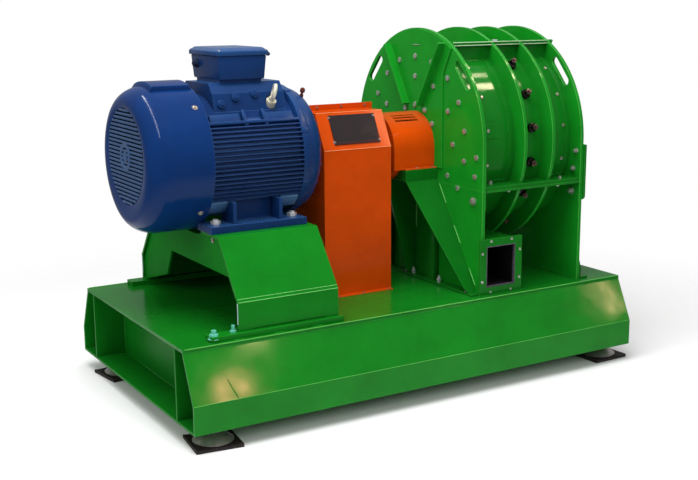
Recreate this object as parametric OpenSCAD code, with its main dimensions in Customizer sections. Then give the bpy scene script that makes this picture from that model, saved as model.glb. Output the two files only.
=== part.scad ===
// Turbo mill: a four-disc drum mill, driven through a coupling by a foot-mounted motor,
// all standing on one welded base with four levelling feet.
// X runs along the shaft from the motor to the mill, the side with the outlet faces -Y,
// and the origin is on the floor under the middle of the base.

/* [Base] */
// Length of the base
base_l = 2500; // [2400:10:2700]
// Width of the base over its lower edges
base_w = 1456; // [1400:4:1600]
// Width of the deck on top of the base
deck_w = 1260; // [1240:4:1300]
// Height of the deck above the floor
deck_z = 445; // [430:5:480]
// Height of the fold between the sloped and the upright part of the side sheet
fold_z = 220; // [180:5:260]
// Height of the underside of the base above the floor
base_z = 90; // [80:2:110]
// Thickness of the deck plate
deck_t = 15; // [10:1:20]
// Thickness of the other base plates
sheet_t = 12; // [8:1:15]

/* [Levelling feet] */
// Side of the square rubber pad
pad_side = 214; // [180:2:220]
// Thickness of the rubber pad
pad_t = 16; // [10:1:25]
// Radius of the steel dome
dome_r = 92; // [70:1:100]
// Height of the steel dome
dome_h = 42; // [30:1:55]

/* [Shaft line] */
// Height of the shaft above the floor
axis_z = 1175; // [1170:1:1180]
// Radius of the drive shaft
shaft_r = 50; // [40:1:60]

/* [Motor] */
// Shaft height of the motor above its feet
motor_h = 315; // [310:1:320]
// Radius of the fan cowl
cowl_r = 341; // [330:1:345]
// Radius of the round grille in the cowl's face
grille_r = 222; // [200:2:250]
// Radius over the cooling fins
fin_r = 322; // [315:1:330]
// Number of cooling fins on each side
fin_count = 18; // [10:1:24]

/* [Mill] */
// Radius of the discs
disc_r = 575; // [560:1:590]
// Radius of the drum between the discs
drum_r = 495; // [480:1:510]
// Thickness of a disc or wall
disc_t = 18; // [15:1:20]
// Height of the casing's split above the floor
split_z = 966; // [950:1:985]

/* [Outlet] */
// Width of the outlet flange
outlet_w = 262; // [250:2:270]
// Height of the outlet flange
outlet_h = 284; // [270:2:290]
// Radius of a bolt hole in the outlet flange
outlet_hole_r = 7; // [5:0.5:8]

/* [Hidden] */
$fn = 96;
gap = 0.4;

// Stations along the shaft
base_x = base_l / 2;
cowl_x = -1240;
frame_x = -943;
shield_x = -480;
shield_end_x = -350;
shaft_socket = 20;
stand_x = -964;
stand_l = 506;
guard_x = -312;
guard_l = 384;
hood_x = 117;
platform_x = 175;
bearing_x = 200;
wall_x = 370;
disc_2_x = 629;
disc_3_x = 810;
rear_x = 1000;
mill_end_x = rear_x + disc_t;
mill_mid_x = (wall_x + mill_end_x) / 2;

// Base
web_y = 535;
cross_t = 12;
cross_x = [-1095, -380, 335, 1083];
deck_under_z = deck_z - deck_t;
side_run = (base_w - deck_w) / 2;
side_rise = deck_under_z - fold_z;
side_shift = sheet_t * norm([side_run, side_rise]) / side_rise;

// Feet: centre and turn of each one, as they were slid in by hand
foot_y = 577;
foot_left_x = -1116;
foot_left_front_y = 613;
foot_left_back_x = -1126;
foot_left_back_y = 500;
foot_left_back_turn = 8;
foot_right_x = 1168;
feet = [
    [foot_left_x, -foot_left_front_y, -7],
    [foot_left_back_x, foot_left_back_y, foot_left_back_turn],
    [foot_right_x, -foot_y, 1],
    [foot_right_x, foot_y, 2]
];
dome_sphere_r = (dome_r * dome_r + dome_h * dome_h) / (2 * dome_h);
stem_r = 20;
foot_nut_r = 34;
foot_nut_t = 14;

// Motor stand
rail_t = 25;
rail_w = 72;
rail_y = 605;
shim_t = 8;
seat_z = axis_z - motor_h;
stand_t = 15;
stand_top_y = 390;
stand_seat_y = 200;
stand_fold_y = 583;
stand_fold_z = 600;
stand_foot_z = deck_z + rail_t + shim_t;
stand_run = stand_fold_y - stand_top_y;
stand_rise = seat_z - stand_fold_z;
stand_shift = stand_t * norm([stand_run, stand_rise]) / stand_rise;
arch_z = 690;
leg_head_y = 195;
leg_toe = [265, 555];

// Motor
motor_core_r = 290;
motor_foot_t = 34;
motor_foot_y = 335;
motor_foot_x = -970;
motor_foot_l = 490;
motor_foot_h = 134;
eye_x = -580;
eye_angle = 54;
eye_turn = 65;
box_x = -829;
box_l = 244;
box_w = 318;
box_z = 1534;
box_h = 110;
lid_h = 36;

// Coupling guard
guard_t = 4;
guard_roof_z = 1352;
guard_roof_y = 125;
guard_y = 212;
guard_fold_z = 1177;
guard_flange_h = 30;
window_x = -230;
window_l = 230;
window_w = 122;
window_edge = 32;
window_lap = 16;

// Bearing hood and pedestal
hood_r = 175;
hood_axis_z = axis_z - 28;
hood_t = 4;
hood_slot_x = 49;
hood_slot_y = -110;
hood_slot_z = 90;
hood_slot_pitch = 20;
hood_slot_l = 140;
hood_slot_w = 11;
platform_z = 1043;
platform_h = 59;
platform_y = 197;
foot_bar_w = 60;
foot_bar_h = 10;
gusset_t = 12;
gusset_foot_y = 544;
cover_t = 8;
cover_front_y = 240;
cover_back_y = 168;
cover_top_y = 315;
cover_flare_z = 1519;
cover_top_z = 1665;

// Casing
top_z = axis_z + 487;
top_t = 17;
top_y = 292;
top_wall_y = 269;
slot_r = 529;
slot_angle = 41.2;
slot_l = 130;
slot_w = 44;
flange_up = 20;
flange_down = 9;
flange_y = 566;
flange_in_y = 400;
splice_y = 566;
splice_rear_y = 588;
splice_in_y = 502;
splice_t = 12;

// Outlet
outlet_y = 577;
outlet_t = 12;
outlet_x = 352;
outlet_z = deck_z + gap;
duct_x = wall_x + disc_t;
duct_l = 188;
duct_top_z = 722;
duct_wall = 6;
duct_sill = 42;
duct_lintel = 32;
duct_depth = 446;
duct_back_y = 130;
pair_x = 64;
edge_z = 130;
edge_x = 117;
pair_z = 72;

// Helpers -----------------------------------------------------------------

// Extrudes a section drawn in (Y, Z) along the shaft from x
module along_x(x, length) {
    translate([x, 0, 0]) rotate([90, 0, 90]) linear_extrude(length) children();
}

// Extrudes an outline drawn in (X, Z) across the machine from y0 to y1
module along_y(y0, y1) {
    translate([0, y1, 0]) rotate([90, 0, 0]) linear_extrude(y1 - y0) children();
}

// Turns a front piece into the back one
module back() {
    mirror([0, 1, 0]) children();
}

// Turns a piece of the drive end of the mill into the rear one
module rear() {
    translate([2 * mill_mid_x, 0, 0]) mirror([1, 0, 0]) children();
}

// A round bar on the shaft line
module shaft_bar(x, length, radius) {
    translate([x, 0, axis_z]) rotate([0, 90, 0]) cylinder(r = radius, h = length);
}

// A plain box from its least corner
module block(x, y, z, lx, ly, lz) {
    translate([x, y, z]) cube([lx, ly, lz]);
}

// Base --------------------------------------------------------------------

module base_deck() {
    color("forestgreen") block(-base_x, -deck_w / 2, deck_under_z, base_l, deck_w, deck_t);
}

module base_bottom() {
    width = base_w - 2 * sheet_t;
    color("forestgreen") block(-base_x, -width / 2, base_z, base_l, width, sheet_t);
}

// One folded sheet: a sloped upper part and an upright lower band
module base_side() {
    color("forestgreen") along_x(-base_x, base_l) mirror([1, 0]) polygon([
        [deck_w / 2 - side_shift, deck_under_z],
        [deck_w / 2, deck_under_z],
        [base_w / 2, fold_z],
        [base_w / 2, base_z],
        [base_w / 2 - sheet_t, base_z],
        [base_w / 2 - sheet_t, fold_z - (side_shift - sheet_t) * side_rise / side_run]
    ]);
}

module base_webs() {
    web_z = base_z + sheet_t;
    color("forestgreen")
        for (side = [-1, 1])
            block(-base_x, side * web_y - sheet_t / 2, web_z, base_l, sheet_t, deck_under_z - web_z);
}

// Plates across the base between the two webs
module base_cross_plates() {
    web_z = base_z + sheet_t;
    width = 2 * web_y - sheet_t;
    color("forestgreen")
        for (x = cross_x)
            block(x, -width / 2, web_z, cross_t, width, deck_under_z - web_z);
}

module foot_pads() {
    color("black")
        for (foot = feet)
            translate([foot[0], foot[1], 0]) rotate(foot[2])
                translate([-pad_side / 2, -pad_side / 2, 0]) cube([pad_side, pad_side, pad_t]);
}

// Steel dome with its nut and stud under the base
module foot_mounts() {
    color("silver")
        for (foot = feet)
            translate([foot[0], foot[1], 0]) {
                intersection() {
                    translate([0, 0, pad_t + dome_h - dome_sphere_r]) sphere(dome_sphere_r);
                    translate([0, 0, pad_t]) cylinder(r = dome_r, h = dome_h);
                }
                translate([0, 0, pad_t + dome_h / 2]) cylinder(r = stem_r, h = base_z - pad_t - dome_h / 2);
                translate([0, 0, base_z - foot_nut_t]) cylinder(r = foot_nut_r, h = foot_nut_t);
            }
}

// Motor stand -------------------------------------------------------------

// Two flat bars, of which the back one starts further in
module motor_rails() {
    rail_x = -1102;
    rail_l = 661;
    back_in = 60;
    color("forestgreen") {
        block(rail_x, -rail_y, deck_z, rail_l, rail_w, rail_t);
        block(rail_x + back_in, rail_y - rail_w, deck_z, rail_l - back_in, rail_w, rail_t);
    }
}

// Bent plate with a seat for the motor foot, a slope and an upright band on two shims
module stand_side() {
    shim_l = 70;
    shim_w = 40;
    color("limegreen") {
        along_x(stand_x, stand_l) mirror([1, 0]) polygon([
            [stand_seat_y, seat_z],
            [stand_top_y, seat_z],
            [stand_fold_y, stand_fold_z],
            [stand_fold_y, stand_foot_z],
            [stand_fold_y - stand_t, stand_foot_z],
            [stand_fold_y - stand_t, stand_fold_z - (stand_shift - stand_t) * stand_rise / stand_run],
            [stand_top_y + stand_t * stand_run / stand_rise - stand_shift, seat_z - stand_t],
            [stand_seat_y, seat_z - stand_t]
        ]);
        for (x = [stand_x, stand_x + stand_l - shim_l])
            block(x, -stand_fold_y, stand_foot_z - shim_t, shim_l, shim_w, shim_t + 1);
    }
}

module stand_sides() {
    stand_side();
    back() stand_side();
}

// End plate across the stand, hollowed under the motor and with an arch on one side of its leg
module stand_end() {
    end_inset = 12;
    hollow_y = 120;
    hollow_z = axis_z - cowl_r - 5;
    inner_fold_y = stand_fold_y - stand_t;
    inner_fold_z = stand_fold_z - (stand_shift - stand_t) * stand_rise / stand_run;
    inner_top_y = stand_top_y + stand_t * stand_run / stand_rise - stand_shift;
    inner_arch_y = inner_top_y + (seat_z - stand_t - arch_z) * stand_run / stand_rise;
    color("forestgreen") along_x(stand_x + end_inset, sheet_t) polygon([
        [-inner_top_y, seat_z - stand_t],
        [-stand_seat_y, seat_z - stand_t],
        [-hollow_y, hollow_z],
        [hollow_y, hollow_z],
        [stand_seat_y, seat_z - stand_t],
        [inner_top_y, seat_z - stand_t],
        [inner_fold_y, inner_fold_z],
        [inner_fold_y, deck_z + rail_t],
        leg_toe,
        [leg_head_y, arch_z],
        [-inner_arch_y, arch_z]
    ]);
}

module stand_ends() {
    stand_end();
    translate([2 * stand_x + stand_l, 0, 0]) mirror([1, 0, 0]) stand_end();
}

// Motor -------------------------------------------------------------------

// Cast barrel with its cooling fins
module motor_frame() {
    length = shield_x - frame_x;
    fin_t = 5;
    fin_span = 66;
    fin_root_r = motor_core_r - 10;
    color("steelblue") {
        shaft_bar(frame_x, length, motor_core_r);
        for (side = [0, 180], i = [0 : fin_count - 1])
            translate([frame_x, 0, axis_z])
                rotate([side + fin_span * (i / (fin_count - 1) - 0.5), 0, 0])
                    block(0, fin_root_r, -fin_t / 2, length, fin_r - fin_root_r, fin_t);
    }
}

// One cast foot: a sole, an upright wall under the barrel and two webs
module motor_foot() {
    sole_in_y = 180;
    web_t = 16;
    web_in = 120;
    sole_w = motor_foot_y - sole_in_y;
    web_w = sole_w - 15;
    wall_t = 40;
    wall_l = motor_foot_l - 2 * web_in;
    color("steelblue") difference() {
        union() {
            block(motor_foot_x, sole_in_y, seat_z, motor_foot_l, sole_w, motor_foot_t);
            block(motor_foot_x + web_in, sole_in_y, seat_z, wall_l, wall_t, motor_foot_h);
            for (x = [motor_foot_x + web_in, motor_foot_x + web_in + wall_l - web_t])
                block(x, sole_in_y, seat_z, web_t, web_w, motor_foot_h);
        }
        shaft_bar(frame_x, shield_x - frame_x, motor_core_r);
        shaft_bar(cowl_x, frame_x - cowl_x, cowl_r + 1);
    }
}

module motor_feet() {
    motor_foot();
    back() motor_foot();
}

// Raised seat that grows out of the barrel, with a low neck that carries the terminal box
module motor_saddle() {
    saddle_x = -872;
    saddle_l = 366;
    saddle_z = 1521;
    saddle_top_y = 130;
    shoulder = [170, 1474];
    saddle_foot = [196, 1380];
    neck_x = -815;
    neck_l = 215;
    neck_y = 128;
    eye_gap_r = 27;
    color("steelblue") difference() {
        union() {
            along_x(saddle_x, saddle_l) polygon([
                [-saddle_foot.x, saddle_foot.y], [saddle_foot.x, saddle_foot.y],
                shoulder, [saddle_top_y, saddle_z],
                [-saddle_top_y, saddle_z], [-shoulder.x, shoulder.y]
            ]);
            block(neck_x, -neck_y, saddle_z - 1, neck_l, 2 * neck_y, box_z - saddle_z + 1);
        }
        shaft_bar(saddle_x - 1, saddle_l + 2, motor_core_r);
        translate([eye_x, 0, axis_z]) rotate([90 - eye_angle, 0, 0]) cylinder(r = eye_gap_r, h = cowl_r);
    }
}

// Fan cowl: a straight barrel with a coned shoulder, a raised seam along its top and a
// recessed round grille field that sits a little above the shaft line
module fan_cowl() {
    shoulder_l = 95;
    face_r = 284;
    recess = 12;
    grille_up = 22;
    seam_x = -1150;
    seam_h = 20;
    seam_y = 117;
    seam_l = frame_x - seam_x;
    color("steelblue") difference() {
        union() {
            shaft_bar(cowl_x + shoulder_l, frame_x - cowl_x - shoulder_l, cowl_r);
            translate([cowl_x, 0, axis_z]) rotate([0, 90, 0])
                cylinder(r1 = face_r, r2 = cowl_r, h = shoulder_l);
            intersection() {
                shaft_bar(seam_x, seam_l, cowl_r + seam_h);
                block(seam_x, -seam_y, axis_z, seam_l, 2 * seam_y, 2 * cowl_r);
            }
        }
        translate([0, 0, grille_up]) shaft_bar(cowl_x - 1, recess + 1, grille_r);
    }
}

// Drive-end shield: a rim against the frame, a coned body and a hub round the shaft
module drive_end_shield() {
    rim_t = 40;
    rim_r = 320;
    nose_r = 268;
    hub_r = 130;
    hub_l = 28;
    color("steelblue") difference() {
        union() {
            shaft_bar(shield_x, rim_t, rim_r);
            translate([shield_x + rim_t, 0, axis_z]) rotate([0, 90, 0])
                cylinder(r1 = rim_r, r2 = nose_r, h = shield_end_x - shield_x - rim_t);
            shaft_bar(shield_end_x, hub_l, hub_r);
        }
        shaft_bar(shield_end_x - shaft_socket, 2 * shaft_socket + hub_l, shaft_r);
    }
}

module terminal_box() {
    color("steelblue") block(box_x, -box_w / 2, box_z, box_l, box_w, box_h);
}

module terminal_box_lid() {
    lip = 7;
    color("steelblue")
        block(box_x - lip, -box_w / 2 - lip, box_z + box_h, box_l + 2 * lip, box_w + 2 * lip, lid_h);
}

// Lifting eye on the shoulder of the motor frame
module motor_eyebolt() {
    eye_r = 32;
    wire_r = 9;
    collar_r = 24;
    collar_z = motor_core_r + 2;
    neck_r = 14;
    neck_z = motor_core_r + 30;
    neck_h = 18;
    color("gainsboro")
        translate([eye_x, 0, axis_z]) rotate([90 - eye_angle, 0, 0]) {
            translate([0, 0, collar_z]) cylinder(r = collar_r, h = neck_z - collar_z + 2);
            translate([0, 0, neck_z]) cylinder(r = neck_r, h = neck_h);
            translate([0, 0, neck_z + neck_h + eye_r]) rotate([90, 0, eye_turn])
                rotate_extrude() translate([eye_r, 0]) circle(wire_r);
        }
}

// Coupling guard ----------------------------------------------------------

// Outline of half of the guard in (Y, Z), moved in by a sheet thickness
module guard_outline(inset) {
    run = guard_y - guard_roof_y;
    rise = guard_roof_z - guard_fold_z;
    slope_shift = inset * norm([run, rise]) / rise;
    polygon([
        [0, deck_z],
        [guard_y - inset, deck_z],
        [guard_y - inset, guard_fold_z - (slope_shift - inset) * rise / run],
        [guard_roof_y + inset * run / rise - slope_shift, guard_roof_z - inset],
        [0, guard_roof_z - inset]
    ]);
}

// Half of the guard with the flange that joins it to the other half
module guard_half() {
    shaft_hole_r = 75;
    flange_overhang = 18;
    lip_w = 22;
    color("darkorange") {
        difference() {
            along_x(guard_x, guard_l) guard_outline(0);
            along_x(guard_x + guard_t, guard_l - 2 * guard_t) guard_outline(guard_t);
            shaft_bar(guard_x - 1, guard_l + 2, shaft_hole_r);
            on_slope() translate([0, 0, -20]) cube([window_l, window_w, 40]);
        }
        block(guard_x, 0, guard_roof_z - 1, guard_l + flange_overhang, guard_t, guard_flange_h + 1);
        block(guard_x, guard_y - 1, deck_z, guard_l, lip_w + 1, guard_t);
    }
}

// Moves a shape drawn flat from the corner of the window onto the sloped sheet
module on_slope() {
    slope = atan2(guard_roof_z - guard_fold_z, guard_y - guard_roof_y);
    translate([window_x, guard_roof_y, guard_roof_z]) rotate([-slope, 0, 0])
        translate([0, window_edge, 0]) children();
}

// Clear pane that lies over an opening
module guard_window() {
    pane_t = 5;
    color("dimgray") on_slope()
        block(-window_lap, -window_lap, 0, window_l + 2 * window_lap, window_w + 2 * window_lap, pane_t);
}

module guard_windows() {
    guard_window();
    back() guard_window();
}

// Shaft line --------------------------------------------------------------

// The shaft from the motor to the mill, and its free end behind the mill
module shaft_ends() {
    start_x = shield_end_x - shaft_socket;
    free_end = 30;
    rear_l = wall_x - cover_t - bearing_x + free_end;
    color("silver") {
        shaft_bar(start_x, wall_x - cover_t - start_x, shaft_r);
        rear() shaft_bar(wall_x - cover_t - rear_l, rear_l, shaft_r);
    }
}

// Two flanged hubs with the flexible disc pack between them
module shaft_coupling() {
    hub_r = 84;
    hub_l = 220;
    flange_r = 125;
    flange_t = 26;
    pack_r = 100;
    mid_x = guard_x + guard_l / 2;
    color("silver") difference() {
        union() {
            shaft_bar(mid_x - hub_l / 2, hub_l, hub_r);
            shaft_bar(mid_x - flange_t / 2, flange_t, pack_r);
            for (x = [mid_x - flange_t * 3 / 2, mid_x + flange_t / 2])
                shaft_bar(x, flange_t, flange_r);
        }
        shaft_bar(mid_x - hub_l, 2 * hub_l, shaft_r);
    }
}

// Housing of one bearing, on the platform under its hood
module bearing() {
    length = 110;
    housing_r = 92;
    sole_y = 125;
    sole_t = 46;
    color("seagreen") difference() {
        union() {
            shaft_bar(bearing_x, length, housing_r);
            block(bearing_x, -sole_y, platform_z, length, 2 * sole_y, sole_t);
            block(bearing_x, -housing_r, platform_z, length, 2 * housing_r, axis_z - platform_z);
        }
        shaft_bar(bearing_x - 1, length + 2, shaft_r);
    }
}

module bearings() {
    bearing();
    rear() bearing();
}

// Arched sheet hood with a side lip on the platform, from x to the cover plate
module hood(x) {
    lip_w = platform_y - hood_r;
    lip_t = 6;
    shaft_gap = 8;
    length = wall_x - cover_t - x;
    color("darkorange") {
        difference() {
            union() {
                translate([x, 0, hood_axis_z]) rotate([0, 90, 0]) cylinder(r = hood_r, h = length);
                block(x, -hood_r, platform_z, length, 2 * hood_r, hood_axis_z - platform_z);
            }
            translate([x + hood_t, 0, hood_axis_z]) rotate([0, 90, 0])
                cylinder(r = hood_r - hood_t, h = length);
            block(x + hood_t, hood_t - hood_r, platform_z - 1, length,
                2 * (hood_r - hood_t), hood_axis_z - platform_z + 1);
            shaft_bar(x - 1, hood_t + 2, shaft_r + shaft_gap);
            for (i = [0 : 2])
                block(x + hood_slot_x, hood_slot_y + i * hood_slot_pitch, hood_axis_z + hood_slot_z,
                    hood_slot_l, hood_slot_w, hood_r);
        }
        for (side = [-1, 1])
            block(platform_x, side > 0 ? hood_r - 1 : 1 - hood_r - lip_w, platform_z,
                wall_x - cover_t - platform_x, lip_w, lip_t);
    }
}

module bearing_hood_drive() {
    hood(hood_x);
}

module platform() {
    color("forestgreen")
        block(platform_x, -platform_y, platform_z - platform_h, wall_x - platform_x, 2 * platform_y,
            platform_h);
}

module platforms() {
    platform();
    rear() platform();
}

// Outline of a gusset and of the middle rib in (X, Z)
module gusset_outline(under_z, bar_z) {
    toe_w = 48;
    toe_run = 16;
    toe_h = 21;
    polygon([
        [platform_x, under_z], [wall_x, under_z], [wall_x, bar_z],
        [wall_x - toe_w, bar_z], [wall_x - toe_w - toe_run, bar_z + toe_h]
    ]);
}

// Two splayed gussets and a middle rib under one platform
module gusset_set() {
    under_z = platform_z - platform_h;
    bar_z = deck_z + foot_bar_h;
    splay = (gusset_foot_y - platform_y) / (under_z - deck_z);
    foot_in_y = gusset_foot_y - splay * foot_bar_h;
    width = gusset_t * sqrt(1 + splay * splay);
    color("forestgreen") {
        for (side = [-1, 1])
            intersection() {
                along_x(platform_x, wall_x - platform_x) scale([side, 1]) polygon([
                    [platform_y, under_z], [platform_y - width, under_z],
                    [foot_in_y - width, bar_z], [foot_in_y, bar_z]
                ]);
                along_y(-base_w, base_w) gusset_outline(under_z, bar_z);
            }
        along_y(-gusset_t / 2, gusset_t / 2) gusset_outline(under_z, bar_z);
    }
}

module gussets() {
    gusset_set();
    rear() gusset_set();
}

// Bar welded along the foot of an end wall
module foot_bar() {
    color("forestgreen")
        block(wall_x - foot_bar_w, -disc_r, deck_z, foot_bar_w, 2 * disc_r, foot_bar_h);
}

module foot_bars() {
    foot_bar();
    rear() foot_bar();
}

// Mill casing -------------------------------------------------------------

// Straight slots near the rim that take a lifting sling
module lifting_slots(x) {
    for (side = [-1, 1])
        translate([x - 1, 0, axis_z]) rotate([90, 0, 90])
            rotate(side > 0 ? slot_angle : 180 - slot_angle)
                translate([slot_r, 0]) linear_extrude(disc_t + 2) {
                    square([slot_w, slot_l], center = true);
                    for (end = [-1, 1]) translate([0, end * slot_l / 2]) circle(slot_w / 2);
                }
}

module wall_lower(x) {
    color("forestgreen") block(x, -disc_r, deck_z, disc_t, 2 * disc_r, split_z - deck_z);
}

module wall_upper(x) {
    color("forestgreen") difference() {
        union() {
            intersection() {
                shaft_bar(x, disc_t, disc_r);
                block(x, -disc_r, split_z, disc_t, 2 * disc_r, 2 * disc_r);
            }
            block(x, -disc_r, split_z, disc_t, 2 * disc_r, axis_z - split_z);
        }
        lifting_slots(x);
    }
}

// Centre plate over the middle of the end wall with two ribs that spread to the rim
module cover_drive() {
    cover_r = disc_r - 6;
    rib_ends = [[-1, disc_r - 10], [1, disc_r - 32]];
    rim_z = axis_z + disc_r;
    rib_h = 40;
    rib_t = 10;
    rib_foot = [57, 1358];
    rib_head = [263, 1704];
    rib_lean = 0.6;
    rib_side = [rib_t, -rib_t * rib_lean];
    color("forestgreen") {
        intersection() {
            shaft_bar(wall_x - cover_t, cover_t, cover_r);
            along_x(wall_x - cover_t, cover_t) polygon([
                [-cover_front_y, platform_z], [cover_back_y, platform_z],
                [cover_back_y, cover_flare_z], [cover_top_y, cover_top_z],
                [cover_top_y, rim_z], [-cover_top_y, rim_z],
                [-cover_top_y, cover_top_z], [-cover_front_y, cover_flare_z]
            ]);
        }
        for (end = rib_ends)
            intersection() {
                along_x(wall_x - cover_t - rib_h, rib_h + 1) scale([end[0], 1])
                    polygon([rib_foot, rib_foot + rib_side, rib_head + rib_side, rib_head]);
                shaft_bar(wall_x - cover_t - rib_h, rib_h + 1, end[1]);
            }
    }
}

// A full middle disc, notched for the split flanges
module disc_middle(x) {
    notch_l = disc_r - flange_in_y + 10;
    color("forestgreen") difference() {
        shaft_bar(x, disc_t, disc_r);
        for (y = [-flange_in_y - notch_l, flange_in_y])
            block(x - 1, y, split_z - flange_down, disc_t + 2, notch_l, flange_down + flange_up);
    }
}

module drum(x0, x1) {
    color("forestgreen") shaft_bar(x0, x1 - x0, drum_r);
}

// Flat-topped boxes on the drum, one between each two discs
module top_boxes() {
    box_foot_z = axis_z + 300;
    bays = [[wall_x + disc_t, disc_2_x], [disc_2_x + disc_t, disc_3_x], [disc_3_x + disc_t, rear_x]];
    color("forestgreen")
        for (bay = bays)
            difference() {
                union() {
                    block(bay[0], -top_y, top_z, bay[1] - bay[0], 2 * top_y, top_t);
                    block(bay[0], -top_wall_y, box_foot_z, bay[1] - bay[0], 2 * top_wall_y,
                        top_z - box_foot_z + 1);
                }
                shaft_bar(bay[0] - 1, bay[1] - bay[0] + 2, drum_r);
            }
}

// Bar pair along one side of the split, from wall to wall
module split_flange() {
    x0 = wall_x + disc_t + splice_t;
    length = rear_x - x0;
    low_y = flange_y + 6;
    color("forestgreen") difference() {
        union() {
            block(x0, -flange_y, split_z, length, flange_y - flange_in_y, flange_up);
            block(x0, -low_y, split_z - flange_down, length, low_y - flange_in_y, flange_down);
        }
        shaft_bar(x0 - 1, length + 2, drum_r);
    }
}

module split_flanges() {
    split_flange();
    back() split_flange();
}

// Plates bolted over the split on both end walls, wider on the rear one
module splice_plates() {
    low_z = 869;
    high_z = 1156;
    splice_sets = [[wall_x + disc_t, splice_y], [mill_end_x, splice_rear_y]];
    color("forestgreen")
        for (side = [-1, 1], set = splice_sets) {
            corner = max(0, set.y - disc_r);
            along_x(set.x, splice_t) scale([side, 1]) polygon([
                [splice_in_y, low_z], [set.y - corner, low_z], [set.y, low_z + corner],
                [set.y, high_z], [splice_in_y, high_z]
            ]);
        }
}

// Outlet: a square duct under the drum that ends in a bolted flange
module outlet_duct() {
    front = -outlet_y - outlet_t;
    neck_y = 220;
    neck_h = 120;
    color("forestgreen") difference() {
        union() {
            block(duct_x, -outlet_y, outlet_z, duct_l, outlet_y + duct_back_y, duct_top_z - outlet_z);
            block(duct_x, -neck_y, duct_top_z - 1, duct_l, neck_y + duct_back_y, neck_h);
            block(outlet_x, front, outlet_z, outlet_w, outlet_t, outlet_h);
        }
        shaft_bar(duct_x - 1, duct_l + 2, drum_r);
        block(duct_x + duct_wall, front - 1, outlet_z + duct_sill, duct_l - 2 * duct_wall, duct_depth + 1,
            duct_top_z - duct_lintel - outlet_z - duct_sill);
        for (sx = [-1, 1], sz = [-1, 1]) {
            outlet_hole(sx * pair_x, sz * edge_z);
            outlet_hole(sx * edge_x, sz * pair_z);
        }
    }
}

// A bolt hole in the flange, placed from the flange's middle
module outlet_hole(dx, dz) {
    mid_x = outlet_x + outlet_w / 2;
    mid_z = outlet_z + outlet_h / 2;
    translate([mid_x + dx, 1 - outlet_y, mid_z + dz]) rotate([90, 0, 0])
        cylinder(r = outlet_hole_r, h = outlet_t + 2);
}

base_deck();
base_bottom();
base_side();  // base_side_front
back() base_side();  // base_side_back
base_webs();
base_cross_plates();
foot_pads();
foot_mounts();
motor_rails();
stand_sides();
stand_ends();
motor_frame();
motor_feet();
motor_saddle();
fan_cowl();
drive_end_shield();
terminal_box();
terminal_box_lid();
motor_eyebolt();
back() guard_half();  // guard_front
guard_half();  // guard_back
guard_windows();
shaft_ends();
shaft_coupling();
bearings();
bearing_hood_drive();
rear() hood(platform_x - 12);  // bearing_hood_rear
platforms();
gussets();
foot_bars();
wall_lower(wall_x);  // wall_drive_lower
wall_upper(wall_x);  // wall_drive_upper
wall_lower(rear_x);  // wall_rear_lower
wall_upper(rear_x);  // wall_rear_upper
cover_drive();
rear() cover_drive();  // cover_rear
disc_middle(disc_2_x);  // disc_middle_drive
disc_middle(disc_3_x);  // disc_middle_rear
drum(wall_x + disc_t, disc_2_x);  // drum_drive
drum(disc_2_x + disc_t, disc_3_x);  // drum_middle
drum(disc_3_x + disc_t, rear_x);  // drum_rear
top_boxes();
split_flanges();
splice_plates();
outlet_duct();
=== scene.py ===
"""Turbo mill with its motor on one welded base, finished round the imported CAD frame."""
import bpy
from math import cos, hypot, pi, radians, sin, sqrt
from mathutils import Matrix, Vector


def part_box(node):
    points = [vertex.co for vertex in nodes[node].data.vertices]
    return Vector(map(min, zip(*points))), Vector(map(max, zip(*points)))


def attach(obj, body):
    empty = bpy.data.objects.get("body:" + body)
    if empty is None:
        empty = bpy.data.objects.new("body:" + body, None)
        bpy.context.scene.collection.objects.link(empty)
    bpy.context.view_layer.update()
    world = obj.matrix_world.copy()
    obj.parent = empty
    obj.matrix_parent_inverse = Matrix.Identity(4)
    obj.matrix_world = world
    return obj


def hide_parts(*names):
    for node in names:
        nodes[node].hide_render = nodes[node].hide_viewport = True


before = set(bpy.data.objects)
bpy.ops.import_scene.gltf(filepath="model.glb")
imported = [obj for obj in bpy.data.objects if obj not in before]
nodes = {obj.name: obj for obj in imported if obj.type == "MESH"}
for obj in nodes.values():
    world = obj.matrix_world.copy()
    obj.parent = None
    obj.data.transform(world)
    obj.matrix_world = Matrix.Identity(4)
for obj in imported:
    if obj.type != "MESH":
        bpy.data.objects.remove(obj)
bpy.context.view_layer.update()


# Camera, floor and studio light ------------------------------------------------------------------
# A long lens at head height, looking down a little on the motor end and the outlet side.
# The floor is plain pale concrete, and the light comes from soft boxes above and in front.

scene = bpy.context.scene
scene.view_settings.view_transform = "Standard"

camera_place = Vector((-2.980, -4.889, 1.876))
camera_yaw, camera_pitch, camera_roll = radians(30.94), radians(11.91), radians(-0.39)
camera_data = bpy.data.cameras.new("camera")
camera_data.lens = 57.92
camera_data.sensor_width = 36.0
camera = bpy.data.objects.new("camera", camera_data)
camera.matrix_world = (
    Matrix.Translation(camera_place)
    @ Matrix.Rotation(-camera_yaw, 4, "Z")
    @ Matrix.Rotation(radians(90) - camera_pitch, 4, "X")
    @ Matrix.Rotation(camera_roll, 4, "Z")
)
scene.collection.objects.link(camera)
scene.camera = camera


def colour(hex_code):
    """An sRGB hex colour as linear red, green, blue and alpha."""
    parts = [int(hex_code[i:i + 2], 16) / 255 for i in (1, 3, 5)]
    return [p / 12.92 if p <= 0.04045 else ((p + 0.055) / 1.055) ** 2.4 for p in parts] + [1.0]


def add(tree, kind, links=None, **settings):
    """Adds a node of that kind, sets its properties, and sets its inputs or links them to sockets."""
    node = tree.nodes.new("ShaderNode" + kind)
    for name, value in settings.items():
        setattr(node, name, value)
    for name, value in (links or {}).items():
        socket = node.inputs[name]
        if isinstance(value, bpy.types.NodeSocket):
            tree.links.new(value, socket)
        else:
            socket.default_value = value
    return node


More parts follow.
